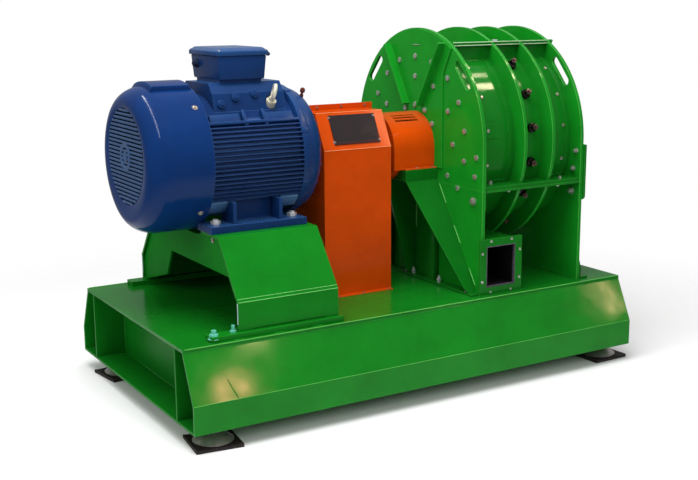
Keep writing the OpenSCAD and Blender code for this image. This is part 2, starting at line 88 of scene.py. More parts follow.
def empty_material(name):
    """A new material with no nodes in its tree."""
    material = bpy.data.materials.new(name)
    material.use_nodes = True
    material.node_tree.nodes.clear()
    return material


# The camera and clear panes see plain white. Gloss sees a white that dims from the ceiling down to
# the horizon, and matt paint gets a weaker, even share of it.
diffuse_share = 0.42
world = bpy.data.worlds.new("studio")
scene.world = world
world.use_nodes = True
tree = world.node_tree
tree.nodes.clear()
ray = add(tree, "LightPath")
shown = add(tree, "Math", {0: ray.outputs["Is Camera Ray"], 1: ray.outputs["Is Transmission Ray"]},
            operation="MAXIMUM")
height = add(tree, "SeparateXYZ", {"Vector": add(tree, "NewGeometry").outputs["Incoming"]})
ceiling = add(tree, "MapRange", {"Value": height.outputs["Z"], "From Min": -0.25, "From Max": -0.95,
                                 "To Min": 0.35, "To Max": 0.8})
mirrored = add(tree, "Math", {0: ray.outputs["Is Glossy Ray"], 1: ceiling.outputs["Result"]},
               operation="MULTIPLY")
ambient = add(tree, "Math", {0: ray.outputs["Is Diffuse Ray"], 1: diffuse_share}, operation="MULTIPLY")
lit = add(tree, "Math", {0: mirrored.outputs[0], 1: ambient.outputs[0]}, operation="MAXIMUM")
strength = add(tree, "Math", {0: shown.outputs[0], 1: lit.outputs[0]}, operation="MAXIMUM")
sky = add(tree, "Background", {"Color": colour("#ffffff"), "Strength": strength.outputs[0]})
add(tree, "OutputWorld", {"Surface": sky.outputs[0]})

# Matt painted concrete, which fades into the white background a few metres out
bpy.ops.object.select_all(action="DESELECT")
bpy.ops.mesh.primitive_plane_add(size=60, location=(0, 0, 0))
floor = bpy.context.object
floor.name = "floor"
concrete = empty_material("painted_concrete")
tree = concrete.node_tree
matt = add(tree, "BsdfPrincipled", {"Base Color": colour("#f6f6f6"), "Roughness": 0.9,
                                    "Specular IOR Level": 0.2})
spot = add(tree, "TexCoord").outputs["Object"]
reach = add(tree, "VectorMath", {0: spot}, operation="LENGTH")
fade = add(tree, "MapRange", {"Value": reach.outputs["Value"], "From Min": 1.6, "From Max": 3.6},
           interpolation_type="SMOOTHSTEP")
clear = add(tree, "BsdfTransparent")
ground = add(tree, "MixShader", {0: fade.outputs["Result"], 1: matt.outputs[0], 2: clear.outputs[0]})
add(tree, "OutputMaterial", {"Surface": ground.outputs[0]})
floor.data.materials.append(concrete)


def soft_box(name, place, aim, width, power, tint="#ffffff", length=0.0, mirrored=True):
    """An area lamp aimed at a point: a soft one lights, and a mirrored one only shows in the gloss."""
    data = bpy.data.lights.new(name, "AREA")
    data.shape = "RECTANGLE"
    data.size = width
    data.size_y = length or width
    data.energy = power
    data.color = colour(tint)[:3]
    lamp = bpy.data.objects.new(name, data)
    lamp.visible_camera = False
    lamp.visible_glossy = mirrored
    lamp.visible_diffuse = not mirrored
    lamp.location = place
    lamp.rotation_euler = (Vector(aim) - Vector(place)).to_track_quat("-Z", "Y").to_euler()
    scene.collection.objects.link(lamp)
    return lamp


soft_box("overhead_light", (-1.2, -1.0, 5.5), (0, 0, 0.8), 4.0, 330, mirrored=False)
soft_box("front_light", (-0.5, -7.0, 4.6), (0.2, 0, 0.8), 3.0, 130, mirrored=False)
soft_box("left_light", (-6.5, -1.0, 4.0), (0, 0, 1.0), 2.5, 100, mirrored=False)

# A long tube and a row of windows under the roof, which only the gloss shows
soft_box("tube_light", (-2.3, -0.6, 5.1), (-2.2, -0.15, 1.4), 0.14, 150, length=7.0)
warm_windows = [
    soft_box("low_window", (1.305, -5.543, 2.913), (-1.059, -0.701, 0.279), 0.34, 18, "#ffaa86", 0.27),
    soft_box("low_window_pane", (1.60, -5.29, 3.28), (-0.908, -0.60, 0.50), 0.2, 5, "#ffdca0"),
    soft_box("side_window", (4.517, -3.852, 2.209), (1.137, -0.657, 0.374), 0.16, 7, "#ffc89a", 0.4),
]
soft_box("high_window", (2.955, -1.670, 4.356), (0.507, -0.402, 1.464), 0.42, 36, "#ffeac4")
soft_box("roof_window", (2.926, -0.754, 4.673), (0.496, -0.358, 1.517), 0.36, 12, "#ffeac4")
soft_box("guard_window_light", (2.27, -2.54, 3.65), (0.129, -0.181, 1.229), 0.06, 13, "#ffe0b0", 0.5)


# Base --------------------------------------------------------------------------------------------
# Welded from flame-cut plate: deck, bottom, two folded side sheets, two long webs and
# cross plates, sprayed all over in glossy green enamel.


def dress(names, material, edge=0.0015):
    """Gives CAD nodes their material, and rounds their edges as paint on dressed plate does."""
    for name in names:
        piece = nodes[name]
        piece.data.materials.clear()
        piece.data.materials.append(material)
        weld = piece.modifiers.new("weld", "WELD")
        weld.merge_threshold = 0.00005
        flat = piece.modifiers.new("flat", "DECIMATE")
        flat.decimate_type = "DISSOLVE"
        flat.angle_limit = radians(0.5)
        soft = piece.modifiers.new("edge", "BEVEL")
        soft.width = edge
        soft.segments = 2
        soft.limit_method = "ANGLE"
        soft.angle_limit = radians(28)
        piece.modifiers.new("shade", "WEIGHTED_NORMAL").keep_sharp = True


def enamel(name, main, wear_and_glint, roughness=0.15, specular=0.13, cast=0.0, dusty=None, edge_wear_and_glint=0.45):
    """Sprayed alkyd enamel on steel: wet gloss, cloudy tone, and paler on edges, as thin paint and as a
    painted highlight. Faces that look up take the dusty colour where one is given: dust, and painted light
    from above. A casting shows its sand."""
    material = empty_material(name)
    tree = material.node_tree
    place = add(tree, "TexCoord").outputs["Object"]
    # The shade drifts over clouds about 250 mm wide
    cloud = add(tree, "TexNoise", {"Vector": place, "Scale": 4.0, "Detail": 4.0, "Roughness": 0.6})
    shade = add(tree, "MapRange", {"Value": cloud.outputs["Fac"], "From Min": 0.3, "From Max": 0.7,
                                   "To Min": 0.86, "To Max": 1.12})
    tone = add(tree, "HueSaturation", {"Color": colour(main), "Value": shade.outputs["Result"]})
    # The paint is pale within 3 mm of an edge: thin paint, and a painted highlight on the edge
    rounded = add(tree, "Bevel", {"Radius": 0.003}, samples=4)
    face = add(tree, "NewGeometry")
    turn = add(tree, "VectorMath", {0: rounded.outputs[0], 1: face.outputs["Normal"]},
               operation="DOT_PRODUCT")
    edge = add(tree, "MapRange", {"Value": turn.outputs["Value"], "From Min": 0.99, "From Max": 0.8,
                                  "To Min": 0.0, "To Max": edge_wear_and_glint})
    skin = add(tree, "Mix", {0: edge.outputs["Result"], 6: tone.outputs["Color"], 7: colour(wear_and_glint)},
               data_type="RGBA")
    # Grease and dust dull the gloss in patches about 70 mm wide
    grime = add(tree, "TexNoise", {"Vector": place, "Scale": 14.0, "Detail": 5.0, "Roughness": 0.65})
    gloss = add(tree, "MapRange", {"Value": grime.outputs["Fac"], "From Min": 0.35, "From Max": 0.7,
                                   "To Min": roughness - 0.03, "To Max": roughness + 0.05})
    # Faces that look up take the dusty colour: dust, and painted light from above, which makes them paler on
    # the motor and darker on the hoods
    if dusty:
        upward = add(tree, "SeparateXYZ", {"Vector": face.outputs["Normal"]})
        lying = add(tree, "MapRange", {"Value": upward.outputs["Z"], "From Min": 0.55, "From Max": 0.98,
                                       "To Min": 0.0, "To Max": 0.9})
        film = add(tree, "MapRange", {"Value": grime.outputs["Fac"], "From Min": 0.25, "From Max": 0.75,
                                      "To Min": 0.6, "To Max": 1.0})
        share = add(tree, "Math", {0: lying.outputs["Result"], 1: film.outputs["Result"]},
                    operation="MULTIPLY")
        skin = add(tree, "Mix", {0: share.outputs[0], 6: skin.outputs[2], 7: colour(dusty)},
                   data_type="RGBA")
    # Orange peel of about 2 mm, drawn 7 mm wide so that it shows, on plate that waves over 250 mm
    peel = add(tree, "TexNoise", {"Vector": place, "Scale": 150.0, "Detail": 2.0})
    wave = add(tree, "TexNoise", {"Vector": place, "Scale": 4.0, "Detail": 1.0})
    plate = add(tree, "Bump", {"Height": wave.outputs["Fac"], "Strength": 0.3, "Distance": 0.004})
    skin_bump = add(tree, "Bump", {"Height": peel.outputs["Fac"], "Strength": 0.05 + cast,
                                   "Distance": 0.0005 + cast * 0.002, "Normal": plate.outputs[0]})
    paint = add(tree, "BsdfPrincipled", {"Base Color": skin.outputs[2], "Roughness": gloss.outputs["Result"],
                                         "IOR": 1.5, "Specular IOR Level": specular,
                                         "Normal": skin_bump.outputs[0]})
    add(tree, "OutputMaterial", {"Surface": paint.outputs[0]})
    return material


def choose(piece, test):
    """Opens a piece for editing with only the faces selected whose middle and normal pass the test."""
    bpy.ops.object.select_all(action="DESELECT")
    piece.select_set(True)
    bpy.context.view_layer.objects.active = piece
    bpy.ops.object.mode_set(mode="EDIT")
    bpy.ops.mesh.select_mode(type="FACE")
    bpy.ops.mesh.select_all(action="DESELECT")
    bpy.ops.object.mode_set(mode="OBJECT")
    for face in piece.data.polygons:
        face.select = test(face.center, face.normal)
    bpy.ops.object.mode_set(mode="EDIT")


def block(low, high):
    """A plain block between two corners, as the start of a piece."""
    bpy.ops.object.select_all(action="DESELECT")
    bpy.ops.mesh.primitive_cube_add(size=1, location=[(a + b) / 2 for a, b in zip(low, high)])
    piece = bpy.context.object
    piece.scale = [b - a for a, b in zip(low, high)]
    bpy.ops.object.transform_apply(location=True, rotation=True, scale=True)
    return piece


def slab(low, high, edge=0.002, segments=2):
    """A plate or block between two corners, with its edges rounded off."""
    piece = block(low, high)
    choose(piece, lambda middle, normal: True)
    bpy.ops.mesh.bevel(offset=edge, segments=segments, affect="EDGES")
    bpy.ops.object.mode_set(mode="OBJECT")
    return piece


def glint_line(x0, x1, y, z, half, edge):
    """A thin strip along X, as wide as two halves, for a painted highlight along a fold or an edge."""
    return slab((x0, y - half, z - half), (x1, y + half, z + half), edge, 1)


def bead(start, end, width):
    """A weld bead between two points: a rod of ripples, thinner at both ends."""
    start, end = Vector(start), Vector(end)
    along = end - start
    rings = max(4, min(50, int(along.length / width)))
    bpy.ops.object.select_all(action="DESELECT")
    bpy.ops.mesh.primitive_cylinder_add(vertices=8, radius=width / 2, depth=along.length)
    piece = bpy.context.object
    choose(piece, lambda middle, normal: False)
    bpy.ops.mesh.select_mode(type="EDGE")
    bpy.ops.object.mode_set(mode="OBJECT")
    # Only the lines that run along the rod are cut into rings
    for line in piece.data.edges:
        a, b = (piece.data.vertices[i].co for i in line.vertices)
        line.select = abs(a.z - b.z) > width / 100
    bpy.ops.object.mode_set(mode="EDIT")
    bpy.ops.mesh.subdivide(number_cuts=2 * rings)
    bpy.ops.object.mode_set(mode="OBJECT")
    for point in piece.data.vertices:
        share = point.co.z / along.length
        ripple = 0.85 + 0.15 * cos(2 * pi * share * rings)
        taper = min(1.0, (0.5 - abs(share)) * along.length / width + 0.35)
        point.co.x *= ripple * taper
        point.co.y *= ripple * taper
    turn = along.to_track_quat("Z", "Y").to_matrix().to_4x4()
    piece.matrix_world = Matrix.Translation((start + end) / 2) @ turn
    return piece


def joined(pieces):
    """Joins several objects into the first one."""
    bpy.ops.object.select_all(action="DESELECT")
    for piece in pieces:
        piece.select_set(True)
    bpy.context.view_layer.objects.active = pieces[0]
    if len(pieces) > 1:
        bpy.ops.object.join()
    return pieces[0]


def finished(piece, name, material, angle=32):
    """Applies the place of a piece, shades and names it, and ties it to the machine."""
    bpy.ops.object.select_all(action="DESELECT")
    piece.select_set(True)
    bpy.context.view_layer.objects.active = piece
    bpy.ops.object.transform_apply(location=True, rotation=True, scale=True)
    bpy.ops.object.shade_smooth_by_angle(angle=radians(angle))
    piece.name = name
    piece.data.materials.clear()
    piece.data.materials.append(material)
    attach(piece, "root")
    return piece


# Gloss enamel in three states: full and wet on the side sheets, scuffed duller on the deck, and
# thin dry spray, nearly matt, inside the frame
green_enamel = enamel("green_enamel", "#107219", "#2f9a35", 0.09)
deck_enamel = enamel("green_enamel_on_deck", "#0f6b18", "#2f9a35", 0.19, 0.09)
frame_enamel = enamel("green_enamel_on_base_frame", "#0e6917", "#2f8f35", 0.35, 0.05)
base_sides = ["base_side_front", "base_side_back"]
dress(base_sides, green_enamel, 0.003)
dress(["base_deck"], deck_enamel)
dress([name for name in nodes if name.startswith("base_") and name not in base_sides + ["base_deck"]],
       frame_enamel)

# The warm windows are linked to the front side sheet alone, or they would tint every bolt
side_sheet_only = bpy.data.collections.new("faces_the_windows")
side_sheet_only.objects.link(nodes["base_side_front"])
for lamp in warm_windows:
    lamp.light_linking.receiver_collection = side_sheet_only

sheet_low, sheet_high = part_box("base_side_front")
deck_low, deck_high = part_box("base_deck")
fold_z = 0.220
slope = (sheet_low[1] - deck_low[1]) / (deck_low[2] - fold_z)


def on_side(x, z):
    """A point on the sloped part of the front side sheet."""
    return (x, deck_low[1] + slope * (deck_low[2] - z), z)


# The mended crack in the front side sheet, stitches under the deck along the webs, and full runs
# down the webs' ends and across both sides of the cross plates
seam = [bead(on_side(-1.074, 0.306), on_side(-1.060, 0.266), 0.005),
        bead(on_side(-1.060, 0.268), on_side(-1.040, 0.223), 0.007)]
under_deck, on_bottom = 0.428, 0.104
for side in (-1, 1):
    for i in range(9):
        x = -1.14 + i * 0.28
        seam.append(bead((x, side * 0.541, under_deck), (x + 0.09, side * 0.541, under_deck), 0.008))
    for x in (-1.0955, -1.0825):
        seam.append(bead((x, side * 0.527, 0.110), (x, side * 0.527, 0.425), 0.007))
for x in (-1.0955, -1.0825, 1.0825, 1.0955):
    for z in (under_deck, on_bottom):
        seam.append(bead((x, -0.50, z), (x, 0.50, z), 0.007))
finished(joined(seam), "base_welds", green_enamel)

# Painted highlights: paler green lines on both folds and the deck's edges, where they catch the light
edge_glint_green = enamel("pale_green_edge_glint", "#4fa344", "#7cc06c", 0.2, 0.1)
half_l = round(sheet_high[0], 4) - 0.001
wear_and_glint = []
for side in (-1, 1):
    wear_and_glint.append(slab((-half_l, side * 0.7268 - 0.0011, fold_z),
                     (half_l, side * 0.7268 + 0.0011, fold_z + 0.0024), 0.0004, 1))
    wear_and_glint.append(glint_line(-1.24, 1.24, side * deck_high[1], deck_high[2], 0.002, 0.0008))
finished(joined(wear_and_glint), "glint_base_edges", edge_glint_green)

# The runs that close the deck to the side sheets are ground flush
closed = [slab((-half_l, side * deck_high[1] - 0.002, deck_low[2] - 0.003),
               (half_l, side * deck_high[1] + 0.001, deck_low[2] + 0.003), 0.0005, 1) for side in (-1, 1)]
finished(joined(closed), "ground_base_welds", green_enamel)


# Levelling feet ----------------------------------------------------------------------------------
# Spun steel domes on ribbed square pads of black rubber. A stud with a nut holds each one
# under a corner of the base, and every foot has been set down at its own small turn.

def turned(outline, steps=48):
    """Spins an outline of (radius, height) points round the Z axis, as a lathe would cut it."""
    bpy.ops.object.select_all(action="DESELECT")
    bpy.ops.mesh.primitive_plane_add(size=1)
    piece = bpy.context.object
    bpy.ops.object.mode_set(mode="EDIT")
    bpy.ops.mesh.select_mode(type="VERT")
    bpy.ops.mesh.select_all(action="SELECT")
    bpy.ops.mesh.merge(type="CENTER")
    bpy.ops.transform.translate(value=(outline[0][0], 0, outline[0][1]))
    for (r0, z0), (r1, z1) in zip(outline, outline[1:]):
        bpy.ops.mesh.extrude_vertices_move(TRANSFORM_OT_translate={"value": (r1 - r0, 0, z1 - z0)})
    bpy.ops.mesh.select_all(action="SELECT")
    bpy.ops.mesh.spin(steps=steps, angle=2 * pi, center=(0, 0, 0), axis=(0, 0, 1))
    bpy.ops.mesh.select_all(action="SELECT")
    bpy.ops.mesh.remove_doubles(threshold=0.00001)
    bpy.ops.mesh.normals_make_consistent(inside=False)
    bpy.ops.object.mode_set(mode="OBJECT")
    return piece


def chamfered(sides, radius, low, high, chamfer, segments=1, both=False):
    """A round or a hexagon on the Z axis between two heights, chamfered at its top or at both ends."""
    bpy.ops.object.select_all(action="DESELECT")
    bpy.ops.mesh.primitive_cylinder_add(vertices=sides, radius=radius, depth=high - low,
                                        location=(0, 0, (low + high) / 2))
    piece = bpy.context.object
    choose(piece, lambda middle, normal: normal.z > 0.9 or (both and normal.z < -0.9))
    bpy.ops.mesh.bevel(offset=chamfer, segments=segments, affect="EDGES")
    bpy.ops.object.mode_set(mode="OBJECT")
    return piece


def copies(original, places):
    """Sets a copy of the original, each with its own mesh, at every place, and joins them."""
    pieces = []
    for place in places:
        piece = original.copy()
        piece.data = original.data.copy()
        piece.matrix_world = place
        scene.collection.objects.link(piece)
        pieces.append(piece)
    bpy.data.objects.remove(original)
    return joined(pieces)


def facing(place, axis, turn=0.0):
    """The place of a piece whose own +Z points along the axis, turned about it by some degrees."""
    way = Vector(axis).to_track_quat("Z", "Y").to_matrix().to_4x4()
    return Matrix.Translation(Vector(place)) @ way @ Matrix.Rotation(radians(turn), 4, "Z")


def metal(name, main, dark, roughness, metallic=1.0, grain=(30.0, 30.0, 30.0), bump=0.15):
    """Bare or plated metal: fine scratches along one way and slightly uneven tarnish."""
    material = empty_material(name)
    tree = material.node_tree
    place = add(tree, "TexCoord").outputs["Object"]
    # The grain divides scratches 170 mm wide: 30 gives 6 mm, far coarser than real ones, to show
    stretch = add(tree, "Mapping", {"Vector": place, "Scale": grain})
    scratch = add(tree, "TexNoise", {"Vector": stretch.outputs[0], "Scale": 6.0, "Detail": 6.0})
    # Tarnish in spots about 25 mm wide
    stain = add(tree, "TexNoise", {"Vector": place, "Scale": 40.0, "Detail": 3.0})
    tone = add(tree, "Mix", {0: stain.outputs["Fac"], 6: colour(main), 7: colour(dark)}, data_type="RGBA")
    gloss = add(tree, "MapRange", {"Value": scratch.outputs["Fac"], "From Min": 0.3, "From Max": 0.7,
                                   "To Min": roughness - 0.08, "To Max": roughness + 0.1})
    rough = add(tree, "Bump", {"Height": scratch.outputs["Fac"], "Strength": bump, "Distance": 0.0005})
    skin = add(tree, "BsdfPrincipled", {"Base Color": tone.outputs[2], "Metallic": metallic,
                                        "Roughness": gloss.outputs["Result"], "Normal": rough.outputs[0]})
    add(tree, "OutputMaterial", {"Surface": skin.outputs[0]})
    return material


def moulded(name, main, dusty):
    """Moulded rubber or plastic, or pressed fibre: matt, with pale dust in its open texture."""
    material = empty_material(name)
    tree = material.node_tree
    place = add(tree, "TexCoord").outputs["Object"]
    # Dust lies in specks about 15 mm wide
    dust = add(tree, "TexNoise", {"Vector": place, "Scale": 60.0, "Detail": 5.0, "Roughness": 0.7})
    share = add(tree, "MapRange", {"Value": dust.outputs["Fac"], "From Min": 0.45, "From Max": 0.8,
                                   "To Min": 0.0, "To Max": 0.5})
    tone = add(tree, "Mix", {0: share.outputs["Result"], 6: colour(main), 7: colour(dusty)},
               data_type="RGBA")
    rough = add(tree, "Bump", {"Height": dust.outputs["Fac"], "Strength": 0.4, "Distance": 0.0008})
    skin = add(tree, "BsdfPrincipled", {"Base Color": tone.outputs[2], "Roughness": 0.75,
                                        "Specular IOR Level": 0.3, "Normal": rough.outputs[0]})
    add(tree, "OutputMaterial", {"Surface": skin.outputs[0]})
    return material


# Each foot's place on the floor and its turn in degrees
feet = [(-1.116, -0.613, -7), (-1.126, 0.500, 8), (1.168, -0.577, 1), (1.168, 0.577, 2)]
pad_places = [Matrix.Translation((x, y, 0)) @ Matrix.Rotation(radians(turn), 4, "Z") for x, y, turn in feet]
pad_side, pad_t, rib_count = 0.214, 0.016, 9

bpy.ops.object.select_all(action="DESELECT")
bpy.ops.mesh.primitive_grid_add(x_subdivisions=2 * rib_count + 1, y_subdivisions=1, size=pad_side)
pad = bpy.context.object
choose(pad, lambda middle, normal: True)
bpy.ops.mesh.extrude_region_move(TRANSFORM_OT_translate={"value": (0, 0, pad_t)})
bpy.ops.mesh.select_all(action="SELECT")
bpy.ops.mesh.normals_make_consistent(inside=False)
bpy.ops.object.mode_set(mode="OBJECT")
strip = pad_side / (2 * rib_count + 1)
choose(pad, lambda middle, normal: normal.z > 0.9 and int((middle.x + pad_side / 2) / strip) % 2 == 1)
bpy.ops.transform.translate(value=(0, 0, -0.0025))
bpy.ops.object.mode_set(mode="OBJECT")
# Moulded natural rubber: black, matt and dusty in its grooves
foot_rubber = moulded("moulded_rubber", "#1d1717", "#4a4040")
pads = finished(copies(pad, pad_places), "ribbed_pads", foot_rubber)
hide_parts("foot_pads")

dome_r, dome_h, base_z = 0.092, 0.042, 0.090
cap_r = (dome_r ** 2 + dome_h ** 2) / (2 * dome_h)
curve = [(r, pad_t + sqrt(cap_r ** 2 - r ** 2) - (cap_r - dome_h))
         for r in [dome_r - (dome_r - 0.030) * i / 9 for i in range(1, 10)]]
dome = turned([(0.0, pad_t), (dome_r, pad_t), (dome_r, pad_t + 0.003)] + curve
              + [(0.030, 0.066), (0.020, 0.066), (0.020, base_z), (0.0, base_z)], 64)
lock_nut = chamfered(6, 0.034, base_z - 0.014, base_z, 0.002, both=True)
# Spun steel keeps the roller's rings: fine lines round the dome and a soft shine
foot_steel = metal("spun_steel", "#c9c4c0", "#837c78", 0.38, 0.8, (4.0, 4.0, 200.0), 0.2)
domes = finished(copies(joined([dome, lock_nut]), pad_places), "steel_domes", foot_steel)
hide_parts("foot_mounts")


# Motor rails and stand ---------------------------------------------------------------------------
# Two flat rails on the deck carry the stand on shims. It is bent from plate, with arched
# plates across its ends, and zinc-plated bolts hold it down and push it square.

# The bent sheets shine, and the end plates caught only dry overspray and are nearly matt
stand_enamel = enamel("green_enamel_stand", "#0e7218", "#45a543", 0.15, 0.06)
dress(["motor_rails", "stand_sides"], stand_enamel)
matt_enamel = enamel("green_enamel_on_stand_ends", "#0e771b", "#3f9a3f", 0.4, 0.02)
dress(["stand_ends"], matt_enamel)
# Zinc plate with a clear passivate: a warm pale grey with a soft shine
zinc = metal("zinc_plate", "#d2c9c0", "#857b70", 0.28, 0.8)


def hex_bolt(flats, height, washer=0.0, stud=0.0):
    """A chamfered hexagon head on a round washer, standing on the origin, with a stud end on top."""
    seat = 0.003 if washer else 0.0
    top = seat + height
    parts = [chamfered(6, flats / sqrt(3), seat, top, flats * 0.07, 2)]
    if washer:
        parts.append(chamfered(20, washer, 0.0, seat, 0.0007))
    if stud:
        parts.append(chamfered(20, flats * 0.32, seat, top + stud, 0.0007))
    return joined(parts)


def fasten(fastener, places, name, material):
    """Sets a copy of a plated fastener at every place, as one finished piece."""
    return finished(copies(fastener, places), name, material)


rail_low, rail_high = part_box("motor_rails")
stand_low, stand_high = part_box("stand_sides")
rail_top = rail_high[2]

# The bolts at the near corner caught a mist of green while the paint still ran thin over the zinc
oversprayed = enamel("overspray_on_zinc", "#4fae92", "#b8e0dc", 0.2, 0.3)
corner_bolt = copies(hex_bolt(0.036, 0.020, 0.027, 0.016),
                     [facing((-1.083, -0.581, rail_top), (0, 0, 1), 20)])
inner_bolt = copies(hex_bolt(0.026, 0.018, 0.018, 0.022),
                    [facing((-0.985, -0.568, rail_top), (0, 0, 1), 8)])
finished(joined([corner_bolt, inner_bolt]), "painted_rail_bolts", oversprayed)
fasten(hex_bolt(0.026, 0.016, 0.018, 0.014), [facing((-0.931, 0.596, rail_top), (0, 0, 1), 12)],
       "rail_bolt", zinc)

end_low, end_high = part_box("stand_ends")
end_places = [facing((x, side * 0.312, 0.831), (way, 0, 0), 15)
              for x, way in ((end_low[0], -1), (end_high[0], 1)) for side in (-1, 1)]
fasten(hex_bolt(0.024, 0.012, 0.019), end_places, "stand_end_bolts", zinc)

# Packing strips close the joint between the stand and its rails
packing_y = stand_high[1] - 0.007
strips = [slab((stand_low[0] + 0.004, side * packing_y - 0.002, rail_top - 0.001),
               (stand_high[0] - 0.004, side * packing_y + 0.002, rail_top + 0.01), 0.0004, 1)
          for side in (-1, 1)]
finished(joined(strips), "stand_packing", stand_enamel)

# Welds at the feet and the haunches of the end plates, and three stitches along each rail
runs = []
for x in (end_low[0] - 0.001, end_high[0] + 0.001):
    for side in (-1, 1):
        runs.append(bead((x, side * 0.567, 0.49), (x, side * 0.567, 0.57), 0.008))
        runs.append(bead((x, side * 0.405, 0.80), (x, side * 0.455, 0.735), 0.008))
for side in (-1, 1):
    y, z = side * rail_high[1], deck_high[2]
    for i in range(3):
        x = rail_low[0] + 0.10 + i * 0.20
        runs.append(bead((x, y, z), (x + 0.05, y, z), 0.006))
finished(joined(runs), "stand_welds", stand_enamel)

# Painted highlights: pale lines along each fold and on a line just above it, where they catch the light
glint_green = enamel("pale_green_glint", "#5cb456", "#a0d894", 0.2, 0.1)
wear_and_glint = [glint_line(stand_low[0] + 0.002, stand_high[0] - 0.002, side * y, z, 0.0016, 0.0006)
        for side in (-1, 1) for y, z in ((0.583, 0.600), (0.574, 0.613))]
finished(joined(wear_and_glint), "glint_stand_folds", glint_green)

# Painted highlight down the front corners: a pale grey-blue strip on each edge
corner_glint = enamel("pale_blue_grey_glint", "#a9bdc6", "#d5e0e6", 0.3, 0.3)
corner_x, corner_y = stand_low[0], 0.5755
corners = [slab((corner_x - 0.0012, side * corner_y - 0.004, 0.500),
                (corner_x + 0.0012, side * corner_y + 0.004, 0.596), 0.001, 1) for side in (-1, 1)]
finished(joined(corners), "glint_stand_corners", corner_glint)


# Motor -------------------------------------------------------------------------------------------
# A foot-mounted cage motor in cast iron: finned barrel, feet, drive-end shield and a seat
# for the terminal box, all sprayed in blue machinery enamel over the sand-cast skin.

# Over the sand-cast skin the enamel is duller and slightly grainy, and paler grey-blue on faces that look up:
# dust, and a painted sheen of the light above
blue_cast = enamel("blue_enamel_on_cast_iron", "#113060", "#4f79a8", 0.26, 0.12, 0.2, "#284a78")
dress(["motor_feet", "motor_saddle"], blue_cast, 0.0025)

# The shaft line is as high as the middle of the coupling on it
coupling_low, coupling_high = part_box("shaft_coupling")
axis_z = round((coupling_low[2] + coupling_high[2]) / 2, 4)
frame_low, frame_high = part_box("motor_frame")
root_r, tip_r, fins_top = 0.288, 0.326, 1.365

# Between the fins the same paint turns paler towards their roots, and not above the uppermost fin: painted
# light that lifts the shade in the gaps
fin_enamel = enamel("blue_enamel_on_fins_with_painted_fill", "#122b58", "#34568a", 0.3, 0.1, 0.2)
tree = fin_enamel.node_tree
place = add(tree, "TexCoord").outputs["Object"]
spot = add(tree, "VectorMath", {0: place, 1: (0.0, 0.0, -axis_z)}, operation="ADD")
flat_spot = add(tree, "VectorMath", {0: spot.outputs[0], 1: (0.0, 1.0, 1.0)}, operation="MULTIPLY")
reach = add(tree, "VectorMath", {0: flat_spot.outputs[0]}, operation="LENGTH")
depth = add(tree, "MapRange", {"Value": reach.outputs["Value"], "From Min": root_r, "From Max": tip_r,
                               "To Min": 0.9, "To Max": 0.0})
level = add(tree, "SeparateXYZ", {"Vector": place})
beside = add(tree, "MapRange", {"Value": level.outputs["Z"], "From Min": fins_top - 0.02,
                                "From Max": fins_top, "To Min": 1.0, "To Max": 0.0})
share = add(tree, "Math", {0: depth.outputs["Result"], 1: beside.outputs["Result"]}, operation="MULTIPLY")
paint = [node for node in tree.nodes if node.type == "BSDF_PRINCIPLED"][0]
under = paint.inputs["Base Color"].links[0].from_socket
film = add(tree, "Mix", {0: share.outputs[0], 6: under, 7: colour("#4a6aa0")}, data_type="RGBA")
tree.links.new(film.outputs[2], paint.inputs["Base Color"])
dress(["motor_frame"], fin_enamel, 0.0025)

# Hot-dip galvanised forging: a warm cream-grey, matt, with hardly a reflection
galvanised = metal("galvanised_steel", "#e9e5d2", "#b5ad96", 0.4, 0.35, (20.0, 20.0, 20.0), 0.3)
dress(["motor_eyebolt"], galvanised, 0.0008)


def lift(angle):
    """A turn from the near side up round the shaft line, for places given from that line."""
    return Matrix.Translation((0, 0, axis_z)) @ Matrix.Rotation(radians(-angle), 4, "X")


def barrel_slab(x0, x1, angle, width, r0, r1, edge=0.003):
    """A block on the barrel from x0 to x1, between two radii, centred on that angle."""
    piece = slab((x0, -r1, -width / 2), (x1, -r0, width / 2), edge)
    piece.matrix_world = lift(angle)
    return piece


# Two long pads and two lugs on each shoulder, a rail above the fins, and lugs for the shield's bolts
left, right = frame_low[0], frame_high[0]
sunk_r, lug_r = 0.270, 0.318
castings = []
for angle in (38, 142):
    for x0, x1 in ((left + 0.028, left + 0.180), (left + 0.310, right - 0.012)):
        castings.append(barrel_slab(x0, x1, angle, 0.062, sunk_r, 0.304))
    for x0 in (left + 0.186, left + 0.288):
        castings.append(barrel_slab(x0, x0 + 0.016, angle, 0.085, sunk_r, lug_r))
for angle in (33, 147):
    castings.append(barrel_slab(left, right, angle, 0.014, 0.280, 0.328, 0.004))
for i in range(8):
    castings.append(barrel_slab(right + 0.002, right + 0.034, 22.5 + 45 * i, 0.024, 0.300, 0.3245, 0.003))
finished(joined(castings), "barrel_castings", blue_cast)

# Pads at the lower corners of the barrel, in a paler blue
corner_pads = [barrel_slab(x0, x1, angle, 0.070, sunk_r, tip_r, 0.006) for angle in (-41, 221)
               for x0, x1 in ((left + 0.004, left + 0.105), (right - 0.100, right - 0.004))]
pale_cast = enamel("pale_blue_enamel_on_cast_iron", "#40648c", "#5f86ac", 0.26, 0.3, 0.2)
finished(joined(corner_pads), "corner_pads", pale_cast)


def along_shaft(x, up=0.0):
    """The place of a turned piece whose own axis lies along the shaft, starting at that station."""
    return Matrix.Translation((x, 0, axis_z + up)) @ Matrix.Rotation(radians(90), 4, "Y")


